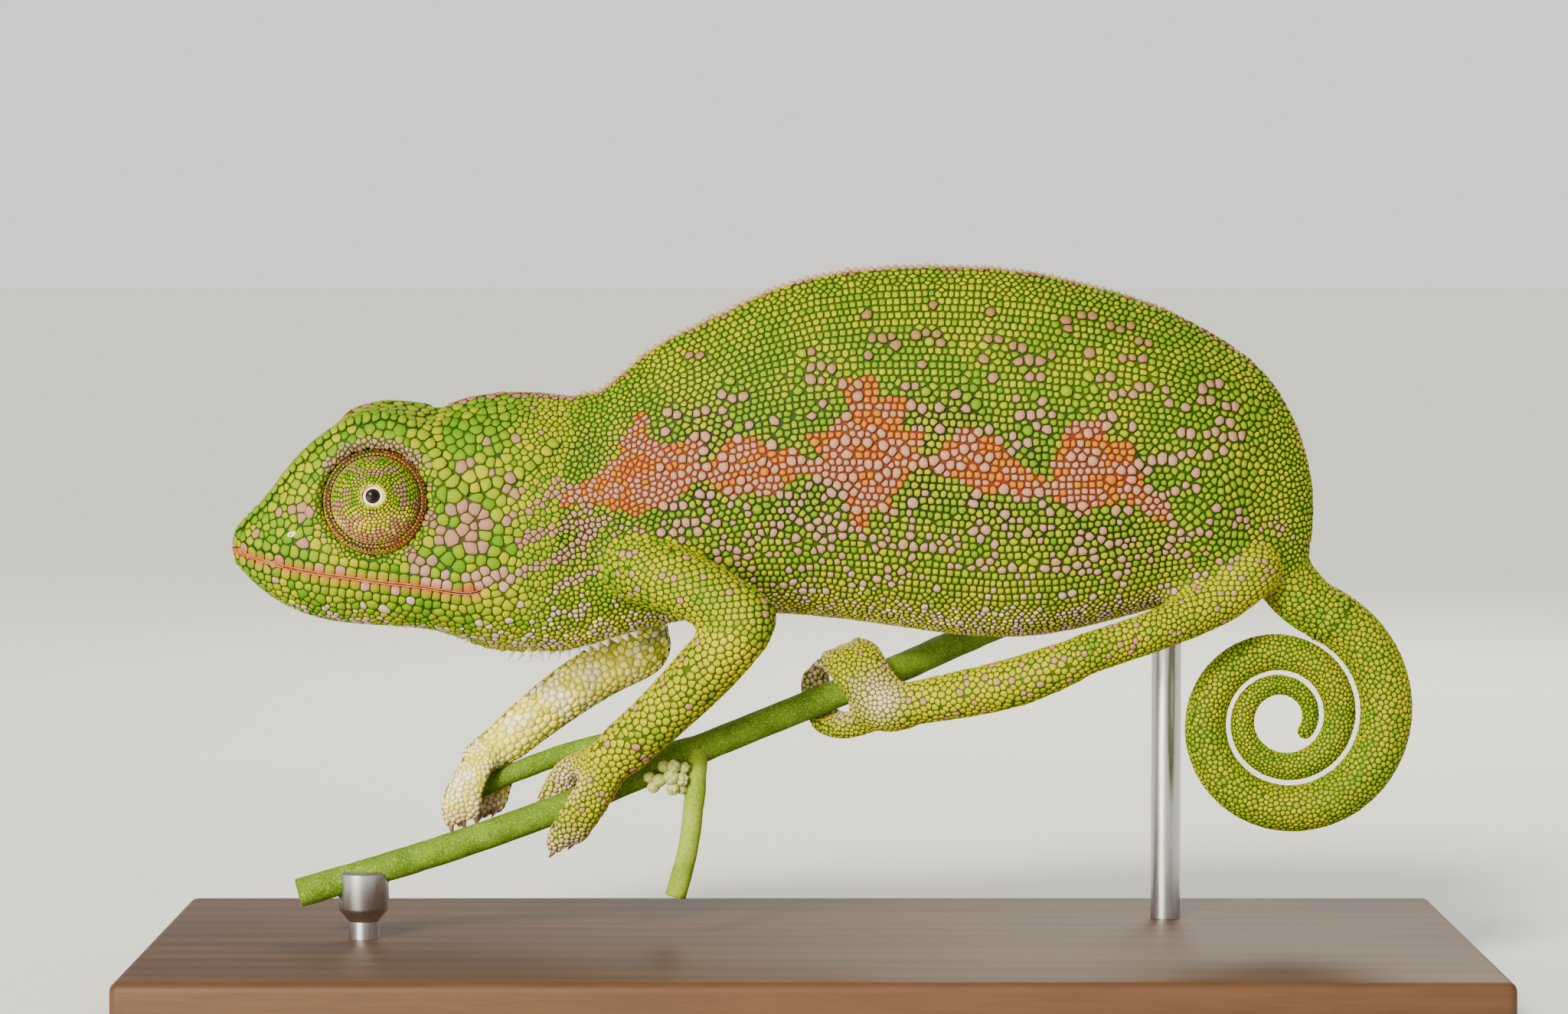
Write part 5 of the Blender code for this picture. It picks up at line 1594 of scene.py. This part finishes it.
# The perch: a cut stem with a twig, a side shoot and its cluster of buds
perch = {
    "radius": 1.45,
    "twig": ((-14.6, 2.6, 24.6, 1.15), (-18.0, 3.6, 25.0, 1.05), (-22.0, 4.8, 24.3, 1.0),
             (-27.0, 6.0, 22.6, 1.0), (-31.0, 6.6, 20.9, 0.95), (-35.4, 6.8, 18.7, 0.9)),
    "shoot": ((-11.2, 0.0, 24.2, 1.0), (-11.3, -1.5, 22.4, 1.04), (-11.5, -2.3, 19.6, 1.0),
              (-12.1, -2.5, 15.0, 1.0), (-13.3, -2.2, 10.4, 1.04)),
    "node": (-12.8, 0.5, 23.8),
    "budMiddle": (-13.7, -2.5, 22.2),
    "buds": ((0.0, -0.9, 0.0, 0.78), (-1.15, -0.5, -0.35, 0.66), (1.0, -0.55, -0.25, 0.7),
             (0.25, -0.7, 1.05, 0.66), (-0.75, -0.35, 1.0, 0.58), (0.15, -0.85, -1.15, 0.64),
             (-1.75, 0.0, -1.05, 0.6), (1.25, -0.2, 0.85, 0.56), (-2.15, 0.15, -0.15, 0.54),
             (1.0, -0.2, -1.25, 0.52)),
    "bark": ((0.075, 0.145, 0.004), (0.13, 0.215, 0.01)),
    "shootBark": ((0.19, 0.27, 0.01), (0.28, 0.37, 0.03)),
    "budGreen": ((0.34, 0.38, 0.09), (0.54, 0.54, 0.19)),
    "hairs": (0.36, 0.48, 0.08),
    "cut": ((0.42, 0.46, 0.20), (0.66, 0.64, 0.40)),
}


def stemFinish(low, high):
    # fine pale hairs over green
    finish = Finish("stem", 0.75, constants={"Specular IOR Level": 0.15})
    blotch = finish.noise(2.4, 3.0)
    colour = finish.blend(low, high, blotch.over(0.5, 0.2))
    fuzz = finish.noise(0.13, 4.0, None, 0.65)
    colour = finish.blend(colour, perch["hairs"], fuzz.over(0.6, 0.07) * 0.75)
    colour = finish.blend(colour, (0.45, 0.55, 0.45), 1.0 - fuzz.over(0.42, 0.08), "MULTIPLY")
    finish.colour(colour)
    finish.bump(fuzz, 0.09)
    return finish.material


def cutFinish():
    finish = Finish("cutEnd", 0.7)
    finish.colour(finish.blend(*perch["cut"], finish.noise(0.2, 3.0)))
    finish.bump(finish.cells(0.18), 0.05)
    return finish.material


def stemTube(name, rows, segments, swelling=None):
    grid = bmesh.new()
    rows = rows.copy()
    if swelling is not None:
        away = np.linalg.norm(rows[:, :3] - swelling, axis=1)
        rows[:, 3] += 0.33 * np.exp(-(away / 1.3) ** 2)
    ringTube(grid, rows, segments)
    for v in grid.verts:
        v.co += v.normal * noise.noise(v.co / (1.6 * mm)) * 0.06 * mm
    return grid


def addBuds(grid):
    # each bud has four lobes round a cleft
    middle = Vector(perch["budMiddle"])
    for i, (x, y, z, size) in enumerate(perch["buds"]):
        centre = middle + Vector((x, y, z))
        outward = (Vector((x, y - 1.2, z))).normalized()
        turn = outward.to_track_quat("Z", "X").to_matrix() @ Matrix.Rotation(i * 1.1, 3, "Z")
        for v in bmesh.ops.create_icosphere(grid, subdivisions=4, radius=1.0)["verts"]:
            lobes = abs(math.cos(2 * math.atan2(v.co.y, v.co.x)))
            top = max(v.co.z, 0)
            dimple = math.exp(-(math.hypot(v.co.x, v.co.y) / 0.25) ** 2)
            reach = 1 - (0.26 * (1 - lobes) * top + 0.24 * dimple * top)
            v.co = (centre + turn @ Vector((v.co.x, v.co.y, v.co.z * 1.2)) * reach * size) * mm


def addPerch():
    bark, shootBark = (stemFinish(*perch[key]) for key in ("bark", "shootBark"))
    cut = cutFinish()
    rows = curveThrough(stemRows, 16)
    rows = np.column_stack((rows, np.full(len(rows), perch["radius"] - 0.04)))
    plans = (("stem", rows, 32, perch["node"], bark),
             ("twig", curveThrough(perch["twig"], 8), 20, None, bark),
             ("shoot", curveThrough(perch["shoot"], 8), 20, None, shootBark))
    for name, line, segments, swelling, look in plans:
        mesh = meshOf(stemTube(name, line, segments, swelling), name)
        addPiece(name + "Piece", mesh, look, ("perch_" + name,))
        mesh.materials.append(cut)
        for face in mesh.polygons:
            if len(face.vertices) > 8:
                face.material_index = 1
    buds = bmesh.new()
    addBuds(buds)
    addPiece("buds", meshOf(buds, "buds"), stemFinish(*perch["budGreen"]))


addPerch()
report("perch")

# The display stand: a plain wooden base and two steel rods with cradles
stand = {
    "base": (130.0, 56.0, 6.0),
    "edge": 1.0,
    "rodRadius": 1.5,
    "cradleRadius": 2.5,
    "cradleHeight": 5.0,
    "rods": {"stand_rod_front": -44.0, "stand_rod_rear": 36.0},
    "wood": ((0.022, 0.010, 0.005), (0.105, 0.048, 0.020)),
    "steel": ((0.42, 0.42, 0.43), (0.56, 0.56, 0.57)),
}


def woodFinish():
    finish = Finish("walnut", 0.42, constants={"Specular IOR Level": 0.22})
    stretched = finish.node("Mapping", None, {"Vector": finish.place(), "Scale": (0.09, 1.0, 1.0)})
    drift = finish.noise(9.0, 3.0, stretched)
    grain = finish.noise(0.9, 5.0, stretched, 0.65)
    rings = finish.node("TexWave", {"wave_type": "BANDS", "bands_direction": "Y", "wave_profile": "SIN"},
                        {"Vector": stretched, "Scale": 1 / (16 * mm), "Distortion": 7.0, "Detail": 3.0,
                         "Detail Scale": 1.2})
    tone = rings * 0.16 + drift * 0.46 + grain * 0.42
    finish.colour(finish.blend(*stand["wood"], tone.over(0.5, 0.4)))
    finish.rough(0.44 + grain * 0.18)
    finish.bump(grain, 0.05)
    return finish.material


def steelFinish():
    finish = Finish("steel", 0.3, 1.0)
    streak = finish.node("Mapping", None, {"Vector": finish.place(), "Scale": (1.0, 1.0, 0.04)})
    lines = finish.noise(0.12, 2.0, streak)
    finish.colour(finish.blend(*stand["steel"], lines))
    finish.rough(0.2 + lines * 0.18)
    return finish.material


def addStand():
    length, width, height = stand["base"]
    grid = bmesh.new()
    bmesh.ops.create_cube(grid, size=1.0)
    bmesh.ops.scale(grid, verts=grid.verts, vec=Vector((length, width, height)) * mm)
    bmesh.ops.translate(grid, verts=grid.verts, vec=(0, 0, height / 2 * mm))
    bevelled = [e for e in grid.edges if any(v.co.z > height / 2 * mm for v in e.verts)]
    bmesh.ops.bevel(grid, geom=bevelled, offset=stand["edge"] * mm, segments=5, profile=0.5,
                    affect="EDGES", material=-1)
    mesh = meshOf(grid, "base")
    mesh.set_sharp_from_angle(angle=math.radians(40))
    addPiece("standBase", mesh, woodFinish(), ("stand_base",))
    steel = steelFinish()
    line = curveThrough(stemRows, 12)
    for name, x in stand["rods"].items():
        centre = [np.interp(x, line[:, 0], line[:, axis]) for axis in range(3)]
        floor = height + 0.02
        top = centre[2] + 0.4
        cup = top - stand["cradleHeight"]
        wide, thin = stand["cradleRadius"], stand["rodRadius"]
        profile = [(0, top), (wide - 0.25, top), (wide, top - 0.25), (wide, cup + 1.4),
                   (wide - 0.1, cup + 1.1), (thin, max(cup, floor + 0.3)), (thin, floor), (0, floor)]
        if cup <= floor:
            profile = profile[:3] + [(wide, floor), (0, floor)]
        grid = turned(profile, 48)
        bmesh.ops.translate(grid, verts=grid.verts, vec=(x * mm, centre[1] * mm, 0))
        mesh = cutByStem(grid, line)
        mesh.set_sharp_from_angle(angle=math.radians(35))
        addPiece(name.replace("stand_", ""), mesh, steel, (name,))


def cutByStem(grid, line):
    # a saddle for the stem in the top of a rod
    cutter = bmesh.new()
    ringTube(cutter, np.column_stack((line, np.full(len(line), perch["radius"] + 0.05))), 32)
    solid = linked("rodSolid", meshOf(grid, "rodSolid"))
    tool = linked("rodCutter", meshOf(cutter, "rodCutter"))
    cut = solid.modifiers.new("saddle", "BOOLEAN")
    cut.operation = "DIFFERENCE"
    cut.solver = "EXACT"
    cut.object = tool
    mesh = finalMesh(solid)
    bpy.data.objects.remove(tool, do_unlink=True)
    mesh.shade_smooth()
    return mesh


addStand()
report("stand")


# Floor, light and camera. The studio's walls are bright up to a low height, and its ceiling is dimmer.
view = {"aim": (-2.7, 0.0, 48.4), "distance": 426.7, "elevation": 3.0, "lens": 100.0}
studio = {
    "wall": (0.2, 0.45),
    "strength": (1.15, 0.42),
    "warm": (1.0, 0.93, 0.76),
    "world": (1.0, 0.985, 0.95, 1.0),
    "floor": ((0.84, 0.84, 0.82), (0.88, 0.88, 0.86)),
}


def setStage():
    bpy.ops.mesh.primitive_plane_add(size=60.0)
    floor = bpy.context.object
    floor.name = "floor"
    finish = Finish("floor", 0.8, constants={"Specular IOR Level": 0.1})
    finish.colour(finish.blend(*studio["floor"], finish.noise(60, 2.0)))
    floor.data.materials.append(finish.material)
    world = bpy.data.worlds.new("studio")
    bpy.context.scene.world = world
    world.use_nodes = True
    nodes, links = world.node_tree.nodes, world.node_tree.links
    backdrop = nodes["Background"]
    backdrop.inputs["Color"].default_value = studio["world"]
    height = nodes.new("ShaderNodeSeparateXYZ")
    links.new(nodes.new("ShaderNodeTexCoord").outputs["Generated"], height.inputs["Vector"])
    fade = nodes.new("ShaderNodeMapRange")
    fade.interpolation_type = "SMOOTHSTEP"
    low, high = studio["wall"]
    for socket, value in zip(("From Min", "From Max", "To Min", "To Max"), (low, high, *studio["strength"])):
        fade.inputs[socket].default_value = value
    links.new(height.outputs["Z"], fade.inputs["Value"])
    links.new(fade.outputs["Result"], backdrop.inputs["Strength"])


def pointed(name, data, place, way):
    made = linked(name, data)
    made.location = place * mm
    made.rotation_mode = "QUATERNION"
    made.rotation_quaternion = way.to_track_quat("-Z", "Y")
    return made


def addLight(name, place, aim, size, power):
    light = bpy.data.lights.new(name, "AREA")
    light.color = studio["warm"]
    light.shape = "SQUARE"
    light.size = size * mm
    light.energy = power
    pointed(name, light, Vector(place), Vector(aim) - Vector(place))


def addCamera():
    tilt = math.radians(view["elevation"])
    away = Vector((0, -math.cos(tilt), math.sin(tilt))) * view["distance"]
    camera = bpy.data.cameras.new("camera")
    camera.lens = view["lens"]
    camera.sensor_width = 36.0
    camera.clip_start = 0.01
    bpy.context.scene.camera = pointed("camera", camera, Vector(view["aim"]) + away, -away)


def addSun(place, angle, strength):
    light = bpy.data.lights.new("sun", "SUN")
    light.color = studio["warm"]
    light.angle = math.radians(angle)
    light.energy = strength
    pointed("sun", light, Vector(), -Vector(place))


setStage()
addSun((-190, -420, 270), 12, 5.2)
addLight("fill", (-240, -340, 30), (-20, 0, 30), 220, 3.4)
addLight("back", (120, 380, 320), (0, 0, 50), 240, 1.5)
addCamera()
report("stage")
